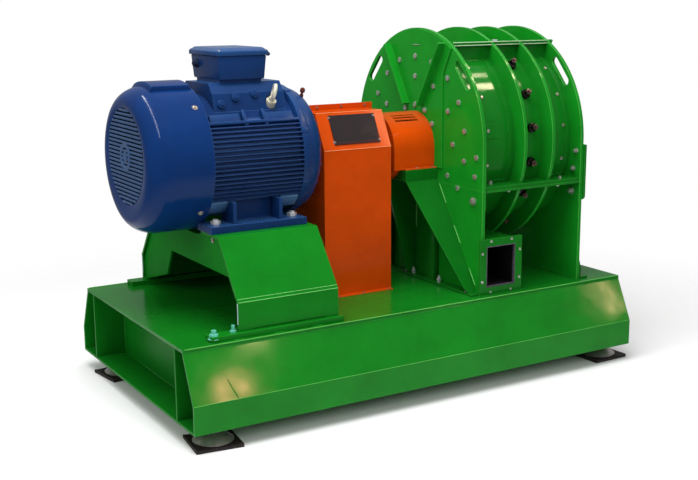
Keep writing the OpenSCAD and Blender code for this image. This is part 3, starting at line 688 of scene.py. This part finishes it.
# The shield: a bell with a rounded shoulder and a short hub, bored for the shaft
shield_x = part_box("drive_end_shield")[0][0]
bore_r = 0.052
bell = turned([(0.0, 0.0), (0.317, 0.0), (0.321, 0.003), (0.321, 0.035), (0.317, 0.041), (0.308, 0.046),
               (0.305, 0.060), (0.300, 0.077), (0.292, 0.093), (0.281, 0.108), (0.267, 0.120),
               (0.248, 0.1275), (0.225, 0.130), (0.134, 0.130), (0.130, 0.134), (0.130, 0.154),
               (0.126, 0.158), (bore_r, 0.158), (bore_r, 0.108), (0.0, 0.108)], 72)
bell.matrix_world = along_shaft(shield_x)
bell = finished(bell, "cast_bell", blue_cast, 40)
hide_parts("drive_end_shield")

# Ribs over the shoulder of the bell, each one a wedge that runs out towards the hub
rib = slab((right + 0.042, -0.290, -0.005), (right + 0.128, -0.230, 0.005), 0.002)
for point in rib.data.vertices:
    if point.co.x > right + 0.10 and point.co.y < -0.27:
        point.co.y += 0.030
finished(copies(rib, [lift(22.5 * i + 11) for i in range(16)]), "shield_ribs", blue_cast)
rim_places = [lift(22.5 + 45 * i) @ facing((right + 0.018, -0.3235, 0), (0, -1, 0)) for i in range(8)]
finished(copies(hex_bolt(0.013, 0.003), rim_places), "shield_bolts", blue_cast)

# Bosses with bolts on the seat of the terminal box
seat_spots = [((x, side * y, z), (0, side * 0.964, 0.267)) for side in (-1, 1)
              for x, y, z in ((-0.760, 0.1758, 1.453), (-0.661, 0.1721, 1.4665), (-0.835, 0.1830, 1.427))]
boss = turned([(0.0, -0.02), (0.020, -0.02), (0.020, 0.008), (0.017, 0.012), (0.0, 0.012)], 24)
finished(copies(boss, [facing(place, axis) for place, axis in seat_spots]), "seat_bosses", blue_cast)
boss_places = [facing(Vector(place) + Vector(axis) * 0.012, axis, 10) for place, axis in seat_spots]
finished(copies(hex_bolt(0.018, 0.008), boss_places), "seat_bolts", blue_cast)

# The bolts of the motor feet are fresh zinc plate: nearly white, with clear reflections
sole_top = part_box("motor_feet")[0][2] + 0.034
foot_places = [facing((x, side * 0.262, sole_top), (0, 0, 1), 12)
               for x in (-0.915, -0.522) for side in (-1, 1)]
foot_zinc = metal("bright_zinc_plate", "#e8ebee", "#a9adb0", 0.25, 0.6)
fasten(hex_bolt(0.041, 0.032, 0.029, 0.006), foot_places, "motor_foot_bolts", foot_zinc)

nipple = turned([(0.0, 0.0), (0.009, 0.0), (0.009, 0.016), (0.006, 0.020), (0.006, 0.026), (0.012, 0.030),
                 (0.012, 0.044), (0.007, 0.050), (0.0, 0.050)], 20)
nipple.matrix_world = facing((-0.384, -0.118, 1.432), (0.1, -0.25, 0.96))
# A moulded polyethylene cap keeps the nipple clean: dull red-brown, waxy
cap_plastic = moulded("brown_cap_plastic", "#4a1712", "#8a4a3c")
finished(nipple, "grease_nipple", cap_plastic)


# Fan cowl ----------------------------------------------------------------------------------------
# Deep-drawn from steel sheet over a wide shoulder, with a round grille of punched slots in
# its face and a raised seam along the top. Four washered screws hold it to the barrel.

# On drawn sheet the same blue lies smooth and deep, with a wet gloss
blue_sheet = enamel("blue_enamel_on_sheet", "#0a2c60", "#4f79a8", 0.12, 0.1)
cowl_low, cowl_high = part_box("fan_cowl")
cowl_r = 0.341
cowl_l = cowl_high[0] - cowl_low[0]
face_r, shoulder_l, grille_r, grille_up = 0.262, 0.120, 0.222, 0.022
shoulder = [(face_r + (cowl_r - face_r) * cos(a), shoulder_l * (1 - sin(a)))
            for a in [radians(10 * i) for i in range(1, 10)]]
cowl = turned([(0.0, cowl_l - 0.006), (cowl_r - 0.008, cowl_l - 0.006), (cowl_r - 0.008, cowl_l),
               (cowl_r, cowl_l), (cowl_r, cowl_l - 0.022), (cowl_r, shoulder_l)] + shoulder
              + [(face_r - 0.014, 0.0), (grille_r + 0.002, 0.005), (grille_r, 0.012), (grille_r, 0.030),
                 (0.0, 0.030)], 72)

# In the cowl's own frame its top is at -X: the round of the grille is moved up, and the face with it
for point in cowl.data.vertices:
    r = hypot(point.co.x, point.co.y)
    if point.co.z < 0.04 and r < face_r:
        point.co.x -= grille_up * min(1.0, (face_r - r) / (face_r - grille_r - 0.002))
cowl.matrix_world = along_shaft(cowl_low[0])
cowl = finished(cowl, "drawn_cowl", blue_sheet, 40)
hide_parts("fan_cowl")


def rolled(x0, x1, low, high, radius, thick):
    """A strip rolled round the shaft line, between two stations and two angles, as a spun section."""
    bpy.ops.object.select_all(action="DESELECT")
    bpy.ops.mesh.primitive_plane_add(size=1)
    piece = bpy.context.object
    piece.scale = (x1 - x0, thick, 1)
    bpy.ops.object.transform_apply(location=True, rotation=True, scale=True)
    piece.matrix_world = lift(low) @ Matrix.Translation(((x0 + x1) / 2, -radius, 0))
    bpy.ops.object.transform_apply(location=True, rotation=True, scale=True)
    bpy.ops.object.mode_set(mode="EDIT")
    bpy.ops.mesh.select_all(action="SELECT")
    bpy.ops.mesh.spin(steps=max(2, int((high - low) / 4)), angle=radians(high - low),
                      center=(0, 0, axis_z), axis=(1, 0, 0))
    bpy.ops.mesh.select_all(action="SELECT")
    bpy.ops.mesh.remove_doubles(threshold=0.00001)
    bpy.ops.mesh.normals_make_consistent(inside=False)
    bpy.ops.object.mode_set(mode="OBJECT")
    return piece


# The raised seam, with its ends and long edges drawn over a generous radius
seam_x = -1.150
raised = rolled(seam_x, cowl_high[0] - 0.006, 70.5, 109.5, cowl_r + 0.005, 0.028)
choose(raised, lambda middle, normal: hypot(middle.y, middle.z - axis_z) > cowl_r + 0.015)
bpy.ops.mesh.inset(thickness=0.012)
bpy.ops.object.mode_set(mode="OBJECT")
for point in raised.data.vertices:
    r = hypot(point.co.y, point.co.z - axis_z)
    turn = abs(point.co.y) / r
    inner = seam_x + 0.006 < point.co.x < cowl_high[0] - 0.012 and turn < sin(radians(19.0))
    if r > cowl_r + 0.015 and not inner:
        share = (cowl_r + 0.002) / r
        point.co.y *= share
        point.co.z = axis_z + (point.co.z - axis_z) * share
finished(raised, "cowl_seam", blue_sheet, 50)

# The grille: bars between punched slots, with a ring and a button at its middle
slat_count = 24
pitch = 2 * grille_r / slat_count
grille_z = axis_z + grille_up
slats = []
for i in range(slat_count):
    rise = -grille_r + (i + 0.5) * pitch
    half = sqrt(grille_r ** 2 - rise ** 2)
    slats.append(slab((cowl_low[0] + 0.003, -half, grille_z + rise - pitch * 0.30),
                      (cowl_low[0] + 0.013, half, grille_z + rise + pitch * 0.30), 0.002, 1))
ring = turned([(0.048, 0.001), (0.062, 0.001), (0.064, 0.004), (0.064, 0.012), (0.046, 0.012), (0.046, 0.004),
               (0.048, 0.001)], 40)
button = turned([(0.0, 0.0), (0.018, 0.0), (0.024, 0.004), (0.024, 0.012), (0.0, 0.012)], 32)
for part in (ring, button):
    part.matrix_world = along_shaft(cowl_low[0], grille_up)
# The grille is a paler blue: dust where the air is drawn in, and a painted reflection on its bars
grille_enamel = enamel("paler_blue_enamel_with_painted_reflection", "#294871", "#5b7fa6", 0.3, 0.2)
finished(joined(slats + [ring, button]), "cowl_grille", grille_enamel)

fan = turned([(0.0, 0.0), (0.05, 0.0), (0.058, 0.008), (grille_r - 0.003, 0.012), (grille_r - 0.003, 0.014),
              (0.0, 0.014)], 48)
fan.matrix_world = along_shaft(cowl_low[0] + 0.0155, grille_up)
# Glass-filled nylon in blue-black, with dust specks: the dark disc behind the grille is painted shade for the
# inside of the cowl
fan_plastic = moulded("blue_black_fan_as_painted_shade", "#10203c", "#243a5e")
finished(fan, "cooling_fan", fan_plastic)


def pan_screw(radius, washer=0.0):
    """A domed screw head with a driving slot's flat on a washer, standing on the origin."""
    rim = washer or radius
    return turned([(0.0, 0.0), (rim, 0.0), (rim, 0.0015), (radius, 0.002), (radius, 0.004),
                   (radius * 0.85, 0.0065), (radius * 0.5, 0.008), (radius * 0.45, 0.006), (0.0, 0.006)], 24)


screw_places = [lift(angle) @ facing((cowl_high[0] - 0.042, -cowl_r, 0), (0, -1, 0))
                for angle in (47, -41, 133, 221)]
fasten(pan_screw(0.010, 0.014), screw_places, "cowl_screws", zinc)


# Terminal box ------------------------------------------------------------------------------------
# A cast box that narrows towards its foot, under a lid with chamfered edges, four screws,
# a hinge pin at one corner and a dark rubber plug in the unused cable entry.

box_low, box_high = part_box("terminal_box")
lid_low, lid_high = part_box("terminal_box_lid")
box_body = block(box_low, box_high)
choose(box_body, lambda middle, normal: normal.z < -0.9)
bpy.ops.transform.resize(value=(0.93, 0.95, 1.0))
bpy.ops.mesh.select_all(action="SELECT")
bpy.ops.mesh.bevel(offset=0.006, segments=3, affect="EDGES")
bpy.ops.object.mode_set(mode="OBJECT")
box_body = finished(box_body, "tapered_box", blue_cast)
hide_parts("terminal_box")

# The lid's top is inset, and its rim is drawn down to make the chamfers
lid = block(lid_low, lid_high)
choose(lid, lambda middle, normal: normal.z > 0.9)
bpy.ops.mesh.inset(thickness=0.022, depth=0.0)
bpy.ops.object.mode_set(mode="OBJECT")
lid_edge = lid_low[2] + 0.020
for point in lid.data.vertices:
    on_rim = any(point.co[i] < lid_low[i] + 0.01 or point.co[i] > lid_high[i] - 0.01 for i in (0, 1))
    if point.co.z > lid_edge and on_rim:
        point.co.z = lid_edge
choose(lid, lambda middle, normal: True)
bpy.ops.mesh.bevel(offset=0.003, segments=2, affect="EDGES")
bpy.ops.object.mode_set(mode="OBJECT")
# Its flat top is a paler grey-blue: a film of dust, and a painted reflection of the light above
lid_enamel = enamel("blue_enamel_on_lid_dust_and_sheen", "#1a3c6b", "#6f8db4", 0.26, 0.12, 0.2, "#485b79")
lid = finished(lid, "chamfered_lid", lid_enamel)
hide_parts("terminal_box_lid")

lid_places = [facing((x, y, lid_edge - 0.001), (0, 0, 1)) for x in (lid_low[0] + 0.011, lid_high[0] - 0.011)
              for y in (lid_low[1] + 0.011, lid_high[1] - 0.011)]
fasten(pan_screw(0.007), lid_places, "lid_screws", zinc)
pin = turned([(0.0, 0.0), (0.009, 0.0), (0.009, 0.010), (0.006, 0.014), (0.0, 0.014)], 20)
plug = turned([(0.0, -0.004), (0.027, -0.004), (0.027, 0.006), (0.023, 0.009), (0.020, 0.024), (0.014, 0.028),
               (0.0, 0.028)], 28)
pin.matrix_world = facing((lid_high[0] - 0.004, lid_low[1] + 0.010, lid_low[2] + 0.004), (1, 0, 0))
plug.matrix_world = facing((box_low[0] + 0.004, 0.096, 1.603), (-1, 0, 0)) @ Matrix.Scale(0.8, 4)
# Moulded rubber, blue-black, with a trace of the motor's overspray
plug_rubber = moulded("blue_black_plug_rubber", "#0d1830", "#25385c")
finished(joined([plug, pin]), "blanking_plug", plug_rubber)


# Coupling and shaft line -------------------------------------------------------------------------
# The two shaft ends in a flanged coupling, with its bolts round the disc pack. They can only
# be seen through the panes of the guard.

# Turned steel: bright, with the tool's fine rings round the shaft
turned_steel = metal("turned_steel", "#a9a7a4", "#6e6a68", 0.3, grain=(200.0, 6.0, 6.0))
dress(["shaft_ends", "shaft_coupling"], turned_steel, 0.001)
coupling_x = (coupling_low[0] + coupling_high[0]) / 2
bolt_circle_r = 0.112
coupling_places = [facing((coupling_x + way * 0.039, bolt_circle_r * cos(angle),
                           axis_z + bolt_circle_r * sin(angle)), (way, 0, 0), 15)
                   for way in (-1, 1) for angle in [radians(60 * i + 30) for i in range(6)]]
# High-tensile bolts, blackened in hot oxide salts: dark, with a slight oily shine
black_steel = metal("black_oxide_steel", "#3a3636", "#1a1717", 0.35)
finished(copies(hex_bolt(0.018, 0.010), coupling_places), "coupling_bolts", black_steel)


# Coupling guard ----------------------------------------------------------------------------------
# Two halves folded from thin sheet and sprayed in orange enamel, bolted together along the top
# and down to the deck, each with a clear pane held over its window by four screws.

# Safety-orange gloss enamel, a little duller than the green
orange_enamel = enamel("orange_enamel", "#c24305", "#e07c3c", 0.14, 0.07)
dress(["guard_front", "guard_back"], orange_enamel, 0.0012)

# Clear polycarbonate sheet: it looks smoky brown and violet against the dark inside, and its brown and violet
# tint is painted shade for that inside. It is hazy with dust in patches about 70 mm wide
polycarbonate = empty_material("clear_polycarbonate")
tree = polycarbonate.node_tree
spot = add(tree, "TexCoord").outputs["Object"]
haze = add(tree, "TexNoise", {"Vector": spot, "Scale": 14.0, "Detail": 4.0})
film = add(tree, "MapRange", {"Value": haze.outputs["Fac"], "From Min": 0.3, "From Max": 0.8,
                              "To Min": 0.01, "To Max": 0.06})
tint = add(tree, "Mix", {0: haze.outputs["Fac"], 6: colour("#5e3234"), 7: colour("#332430")},
           data_type="RGBA")
sheet = add(tree, "BsdfPrincipled", {"Base Color": tint.outputs[2], "Roughness": film.outputs["Result"],
                                     "IOR": 1.58, "Transmission Weight": 0.92,
                                     "Specular IOR Level": 0.2})
add(tree, "OutputMaterial", {"Surface": sheet.outputs[0]})
dress(["guard_windows"], polycarbonate, 0.0008)

guard_low, guard_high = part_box("guard_front")
pane_low, pane_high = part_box("guard_windows")
flange_overhang = 0.018
guard_end = guard_high[0] - flange_overhang

# The slope of the guard runs from the edge of its flat roof down to the upright side
roof_y, roof_z, side_y, side_z = 0.125, 1.352, 0.212, 1.177
fall = Vector((0, side_y - roof_y, side_z - roof_z)).normalized()
outward = Vector((0, -fall.z, fall.y))


def on_guard_slope(x, run, side):
    """A point on the sloped sheet of the guard, that far down from the roof, on one side."""
    return Vector((x, side * (roof_y + fall.y * run), roof_z + fall.z * run))


slope_l = hypot(side_y - roof_y, side_z - roof_z)
pane_screws = [facing(on_guard_slope(x, run, side), (0, side * outward.y, outward.z))
               for x in (pane_low[0] + 0.003, pane_high[0] - 0.004) for run in (0.028, slope_l - 0.040)
               for side in (-1, 1)]
fasten(pan_screw(0.005, 0.008), pane_screws, "pane_screws", zinc)

# Painted highlights: bright lines along the edges of the roof and along both folds
wear_and_glint = [glint_line(guard_low[0] + 0.001, guard_end - 0.001, side * y, z, 0.0014, 0.0005)
        for side in (-1, 1) for y, z in ((roof_y, roof_z), (side_y, side_z))]
fold_glint_orange = enamel("pale_orange_glint", "#e58a56", "#f5bd98", 0.3, 0.1)
finished(joined(wear_and_glint), "glint_guard_folds", fold_glint_orange)

flange_z = guard_high[2] - 0.014
flange_places = [facing((x, side * 0.004, flange_z), (0, side, 0), 15)
                 for x in (-0.233, -0.094, 0.045) for side in (-1, 1)]
lip_places = [facing((x, side * 0.224, deck_high[2] + 0.004), (0, 0, 1), 10)
              for x in (-0.24, -0.10, 0.05) for side in (-1, 1)]
# Zinc plate under a trace of orange overspray: a dull copper grey
dull_zinc = metal("dull_zinc_plate", "#b98a78", "#6d4a38", 0.4, 0.5, bump=0.2)
for name, places in (("guard_flange_bolts", flange_places), ("guard_foot_bolts", lip_places)):
    fasten(hex_bolt(0.013, 0.007, 0.010), places, name, dull_zinc)


# Bearings and their hoods ------------------------------------------------------------------------
# Cast housings on flame-cut platforms, each under an arched sheet hood with cooling slots
# and side lips that are bolted to the platform.

# Green gloss enamel as on the drum: deep, wet and only lightly dusted
casing_enamel = enamel("green_enamel_casing", "#0f6a18", "#4fae4c", 0.1, 0.12)
dress(["bearings"], casing_enamel, 0.004)
# The guard's orange, darker and browner on faces that look up: dust, and painted shade against the light from
# above
hood_enamel = enamel("orange_enamel_dust_and_shade_on_top", "#c24305", "#e07c3c", 0.14, 0.07, dusty="#a04a1e")
dress(["bearing_hood_drive", "bearing_hood_rear"], hood_enamel, 0.0012)
platform_low, platform_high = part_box("platforms")
mill_x = (platform_low[0] + platform_high[0]) / 2


def at_end(x, way):
    """A station at the drive end of the mill (1), or its mirror image at the rear end (-1)."""
    return mill_x - way * (mill_x - x)


hood_places = [facing((at_end(x, way), side * 0.186, platform_high[2] + 0.006), (0, 0, 1), 12)
               for x in (0.247, 0.344) for way in (1, -1) for side in (-1, 1)]
fasten(hex_bolt(0.013, 0.007, 0.0095), hood_places, "hood_bolts", zinc)


# Pedestals ---------------------------------------------------------------------------------------
# A thick platform on two splayed gussets and a middle rib at each end of the mill. They are
# stitch-welded to the end wall, with a bar along its foot that is bolted through the deck.

# The same green enamel laid on thicker, with a broader gloss
pedestal_enamel = enamel("green_enamel_on_pedestals", "#0c6015", "#4fae4c", 0.14, 0.1)
dress(["platforms", "gussets", "foot_bars"], pedestal_enamel, 0.002)

# Each gusset runs from its head (y, z) out and down to its foot, and three stitches hold it
gusset_head = (0.197, 0.984)
gusset_foot = (0.544, 0.461)
gusset_run = gusset_foot[0] - gusset_head[0]
gusset_fall = gusset_head[1] - gusset_foot[1]
wall_x = platform_low[0] + 0.195
stitches = []
for way in (-1, 1):
    weld_x = at_end(wall_x - 0.001, way)
    for side in (-1, 1):
        for shares in ((0.04, 0.22), (0.42, 0.58), (0.80, 0.95)):
            start, end = [(weld_x, side * (gusset_head[0] + 0.002 + gusset_run * share),
                           gusset_head[1] - gusset_fall * share) for share in shares]
            stitches.append(bead(start, end, 0.005))
        stitches.append(bead((weld_x, side * 0.007, 0.70), (weld_x, side * 0.007, 0.85), 0.009))
# The stitches are in the pale green: a painted highlight, as bright lines where the welds catch the light
finished(joined(stitches), "pedestal_welds", glint_green)

# Tall stiffeners stand between the gussets, on the bar and against the wall
bar_low, bar_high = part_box("foot_bars")
stiffeners = []
for way in (-1, 1):
    for side in (-1, 1):
        near, far = sorted((at_end(wall_x - 0.001, way), at_end(wall_x - 0.034, way)))
        stiffeners.append(slab((near, side * 0.212 - 0.006, bar_high[2]),
                               (far, side * 0.212 + 0.006, 0.80), 0.003))
finished(joined(stiffeners), "wall_stiffeners", casing_enamel)

# Bare studs with a nut near their top, through the bar and the deck
stud = turned([(0.0, 0.0), (0.011, 0.0), (0.011, 0.003), (0.007, 0.003), (0.007, 0.032), (0.005, 0.034),
               (0.0, 0.034)], 16)
stud_nut = hex_bolt(0.020, 0.012)
stud_nut.matrix_world = Matrix.Translation((0, 0, 0.015))
stud_places = [facing((at_end(bar_low[0] + 0.026, way), y, bar_high[2] - 0.0005), (0, 0, 1), 12)
               for way in (-1, 1) for y in (-0.500, -0.264, -0.030, 0.030, 0.264, 0.500)]
fasten(joined([stud, stud_nut]), stud_places, "foot_bar_studs", foot_zinc)


# Mill walls --------------------------------------------------------------------------------------
# Thick discs flame-cut from plate, with square feet down to the deck. Zinc-plated bolts on
# three circles hold the liner behind each end wall, through the centre plate where it lies.

# On the flame-cut discs the green is lighter, and much paler on their edges: worn paint, and a painted
# highlight on the rims
disc_enamel = enamel("green_enamel_on_discs", "#12821d", "#8fc880", 0.14, 0.12, edge_wear_and_glint=0.8)
dress(["wall_drive_lower", "wall_drive_upper", "wall_rear_lower", "wall_rear_upper", "disc_middle_drive",
        "disc_middle_rear"], disc_enamel)
# The plates bolted over their middles keep the same green, less pale on their edges
cover_enamel = enamel("green_enamel_on_covers", "#12821d", "#4fae4c", 0.14, 0.12)
dress(["cover_drive", "cover_rear"], cover_enamel)

# Filler smooths over the joint between the two halves of each end wall
wall_low, wall_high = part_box("wall_drive_upper")
filler = []
for x in (wall_low[0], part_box("wall_rear_upper")[1][0]):
    for side in (-1, 1):
        near, far = sorted((side * 0.19, side * 0.574))
        filler.append(slab((x - 0.0007, near, 0.962), (x + 0.0007, far, 0.970), 0.0003, 1))
finished(joined(filler), "wall_joint_filler", cover_enamel)

# The cover plate has upright sides up to its shoulders, and flares from there to its top
plate_t, shoulder_z, flare_h = 0.008, 1.519, 0.146


def plate_face(y, z):
    """How far the outer face at that place stands proud of the wall: the plate's thickness, or nothing."""
    rise = max(0.0, z - shoulder_z) / flare_h
    covered = -0.240 - 0.075 * rise < y < 0.168 + 0.147 * rise
    return plate_t if covered and z > platform_high[2] else 0.0


# Three bolt circles, without the bolts that the bearing and the gussets leave no room for
bolt_spots = []
for radius, count in ((0.180, 12), (0.327, 12), (0.430, 18)):
    for i in range(count):
        y = radius * sin(2 * pi * i / count)
        z = axis_z + radius * cos(2 * pi * i / count)
        gusset_y = gusset_head[0] + (gusset_head[1] - z) * gusset_run / gusset_fall
        behind_bearing = abs(y) < 0.24 and z < axis_z + 0.04
        near_gusset = z < gusset_head[1] and abs(abs(y) - gusset_y) < 0.034
        if not (behind_bearing or near_gusset):
            bolt_spots.append((y, z))
bolt_spots += [(side * y, z) for side in (-1, 1) for y, z in ((0.524, 1.130), (0.512, 1.033))]
wall_places = [facing((at_end(wall_low[0] - plate_face(y, z), way), y, z), (-way, 0, 0), 400 * y)
               for y, z in bolt_spots for way in (-1, 1)]

# Zinc plate that has gone pale and faintly green: near white, with soft reflections
pale_zinc = metal("pale_zinc_plate", "#cdd3c6", "#7f8a7d", 0.22, 0.7)
fasten(hex_bolt(0.026, 0.015, 0.0185), wall_places, "wall_bolts", pale_zinc)

big_places = [facing((at_end(wall_low[0], way), side * 0.505, 0.911), (-way, 0, 0), 20)
              for way in (-1, 1) for side in (-1, 1)]
fasten(hex_bolt(0.036, 0.020, 0.030, 0.008), big_places, "anchor_bolts", pale_zinc)

# On the inner side of each end wall two nuts show near its edge, over a bigger one at the split
inner_places = [facing((at_end(wall_high[0], way), side * y, z), (way, 0, 0), 15)
                for way in (-1, 1) for side in (-1, 1) for y, z in ((0.544, 1.123), (0.526, 1.029))]
fasten(hex_bolt(0.025, 0.018, 0.0175, 0.010), inner_places, "wall_nuts", pale_zinc)
heel_places = [facing((at_end(wall_high[0], way), side * 0.518, 0.910), (way, 0, 0), 15)
               for way in (-1, 1) for side in (-1, 1)]
fasten(hex_bolt(0.032, 0.024, 0.023, 0.012), heel_places, "heel_nuts", pale_zinc)

# One short bead was left bare on the edge of the cover plate
mark_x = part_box("cover_drive")[0][0] + 0.039
mark = bead((mark_x, -0.036, 1.664), (mark_x, 0.024, 1.664), 0.005)
finished(mark, "weld_mark", pale_zinc)


# Drum --------------------------------------------------------------------------------------------
# Three rolled bays between the discs. The outer ones have a shallow hatch frame and small plated
# bolts, and the middle one has long black bolts that hold the breaker bars inside.

dress(["drum_drive", "drum_middle", "drum_rear"], casing_enamel)
drum_r = 0.495
drive_bay, middle_bay, rear_bay = [(low[0], high[0]) for low, high in
                                   (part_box("drum_" + name) for name in ("drive", "middle", "rear"))]


def round_drum(x, angle, radius, turn=0.0):
    """The place of a piece that stands on the drum at that angle up from the near side."""
    a = radians(angle)
    return facing((x, -radius * cos(a), axis_z + radius * sin(a)), (0, -cos(a), sin(a)), turn)


def both_sides(angles):
    """The angles of the near side, and the same ones on the far side of the drum."""
    return list(angles) + [180 - angle for angle in angles]


small_places = [round_drum(x, angle, drum_r, 10)
                for x, angles in ((drive_bay[0] + 0.075, (50, 29, 9, -11, -20)),
                                  (rear_bay[0] + 0.122, (59, 47, 28, 9, -11)))
                for angle in both_sides(angles)]
fasten(hex_bolt(0.017, 0.010, 0.013), small_places, "drum_bolts", zinc)

breaker_x = (middle_bay[0] + middle_bay[1]) / 2 + 0.008
breaker_angles = both_sides((50, 29, 9, -11, -31, -55))
collar_l = 0.034
collar = turned([(0.0, -0.004), (0.024, -0.004), (0.024, 0.016), (0.017, 0.020), (0.015, collar_l),
                 (0.0, collar_l)], 24)
collar_places = [round_drum(breaker_x, angle, drum_r) for angle in breaker_angles]
fasten(collar, collar_places, "breaker_collars", black_steel)

# The nuts on them have been browned by heat: dull, between purple and brown
browned_steel = metal("heat_browned_steel", "#7a5f58", "#3f2c28", 0.35, 0.7, bump=0.2)
nut_places = [round_drum(breaker_x, angle, drum_r + collar_l, 7) for angle in breaker_angles]
fasten(hex_bolt(0.028, 0.014, 0.0, 0.008), nut_places, "breaker_nuts", browned_steel)

# The frame of a hatch is two rings and two bars of 10 mm strip, and one more pad lies in the first
hatch_r = drum_r + 0.002
hatches = []
for bay, inset in ((drive_bay, 0.030), (rear_bay, 0.028)):
    x0, x1 = bay[0] + inset, bay[1] - inset
    for low, high in ((-22, 62), (118, 202)):
        for strip in ((x0, x0 + 0.010, low, high), (x1 - 0.010, x1, low, high),
                      (x0, x1, low, low + 1.2), (x0, x1, high - 1.2, high)):
            hatches.append(rolled(*strip, hatch_r, 0.004))
hatches.append(rolled(drive_bay[0] + 0.05, drive_bay[0] + 0.135, 5, 13, hatch_r, 0.005))
finished(joined(hatches), "hatch_frames", casing_enamel)


# Top boxes, split flanges and splice plates ------------------------------------------------------
# Flat-topped boxes stiffen the drum between the discs. A pair of bars runs along the split of
# the casing on each side, and bolted plates tie the halves of the end walls together.

dress(["top_boxes", "split_flanges", "splice_plates"], casing_enamel, 0.002)
top_low, top_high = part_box("top_boxes")
cap_places = [facing((0.673, side * 0.262, top_high[2]), (0, 0, 1), 15) for side in (-1, 1)]
fasten(hex_bolt(0.028, 0.020, 0.019), cap_places, "top_box_bolts", foot_zinc)

# Painted highlights along the upper edges: pale green, nearly white
wear_and_glint = [glint_line(top_low[0] + 0.002, top_high[0] - 0.002, side * 0.292, z, 0.0018, 0.0007)
        for side in (-1, 1) for z in (top_high[2], top_high[2] - 0.015)]
top_edge_glint = enamel("near_white_green_glint", "#b4d4a8", "#e2f0d8", 0.2, 0.2)
finished(joined(wear_and_glint), "glint_top_edges", top_edge_glint)

split_low, split_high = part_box("split_flanges")
split_places = []
for side in (-1, 1):
    for x, y in ((0.50, 0.470), (0.767, 0.441), (0.898, 0.535)):
        split_places.append(facing((x, side * y, split_high[2]), (0, 0, 1), 10))
    for x in (0.56, 0.881):
        split_places.append(facing((x, side * 0.540, split_low[2]), (0, 0, -1), 25))
fasten(hex_bolt(0.019, 0.014, 0.0145, 0.006), split_places, "split_bolts", pale_zinc)

splice_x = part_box("splice_plates")[1][0]
splice_places = [facing((splice_x, side * 0.552, z), (1, 0, 0), 15) for side in (-1, 1)
                 for z in (1.125, 1.075, 0.94, 0.90)]
fasten(hex_bolt(0.021, 0.012, 0.0155), splice_places, "splice_bolts", pale_zinc)


# Outlet ------------------------------------------------------------------------------------------
# A square duct below the drum with a flange of flame-cut plate. A fibre gasket lines its opening,
# and eight small bolts wait for the discharge duct. Inside it is bare, dusty, blackened steel.

dress(["outlet_duct"], casing_enamel)
outlet_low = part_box("outlet_duct")[0]
mouth_x0, mouth_x1, mouth_z0, mouth_z1 = 0.394, 0.570, outlet_low[2] + 0.042, 0.690
face_y = outlet_low[1]


def frame_round(x0, x1, z0, z1, width, y0, y1):
    """A flat square frame of four mitred strips round an opening, as one ring of faces."""
    bpy.ops.object.select_all(action="DESELECT")
    bpy.ops.mesh.primitive_plane_add(size=1, location=((x0 + x1) / 2, y0, (z0 + z1) / 2),
                                     rotation=(radians(90), 0, 0))
    piece = bpy.context.object
    piece.scale = (x1 - x0, z1 - z0, 1)
    bpy.ops.object.transform_apply(location=True, rotation=True, scale=True)
    choose(piece, lambda middle, normal: True)
    bpy.ops.mesh.inset(thickness=width)
    bpy.ops.mesh.delete(type="FACE")
    bpy.ops.mesh.select_all(action="SELECT")
    bpy.ops.mesh.extrude_region_move(TRANSFORM_OT_translate={"value": (0, y1 - y0, 0)})
    bpy.ops.mesh.select_all(action="SELECT")
    bpy.ops.mesh.normals_make_consistent(inside=False)
    bpy.ops.mesh.bevel(offset=0.001, segments=1, affect="EDGES")
    bpy.ops.object.mode_set(mode="OBJECT")
    return piece


# Pressed fibre sheet: matt, grey with a touch of violet
gasket_fibre = moulded("fibre_gasket", "#403a46", "#6c6674")
gasket = frame_round(mouth_x0 - 0.003, mouth_x1 + 0.003, mouth_z0 - 0.003, mouth_z1 + 0.003, 0.006,
                     face_y - 0.0005, face_y + 0.018)
finished(gasket, "outlet_gasket", gasket_fibre)

# Unpainted steel inside, blackened by fine dust: nearly black, in cloudy patches
liner_steel = metal("blackened_steel", "#1a1118", "#070508", 0.6, 0.5, (12.0, 12.0, 12.0), 0.3)
liner_l, liner_gap, liner_y = 0.430, 0.0005, face_y + 0.014
liner = block((mouth_x0 + liner_gap, liner_y, mouth_z0 + liner_gap),
              (mouth_x1 - liner_gap, liner_y + liner_l, mouth_z1 - liner_gap))
choose(liner, lambda middle, normal: normal.y < -0.9)
bpy.ops.mesh.inset(thickness=0.003)
bpy.ops.mesh.extrude_region_move(TRANSFORM_OT_translate={"value": (0, liner_l - 0.004, 0)})
bpy.ops.object.mode_set(mode="OBJECT")
finished(liner, "outlet_liner", liner_steel)

# Two bolts near each corner of the square flange
flange_x, flange_top = 0.483, 0.7294
flange_mid_z = (outlet_low[2] + flange_top) / 2
duct_places = [facing((flange_x + sx * dx, face_y, flange_mid_z + sz * dz), (0, -1, 0), 12)
               for sx in (-1, 1) for sz in (-1, 1) for dx, dz in ((0.064, 0.130), (0.117, 0.072))]
fasten(hex_bolt(0.013, 0.006), duct_places, "outlet_bolts", pale_zinc)
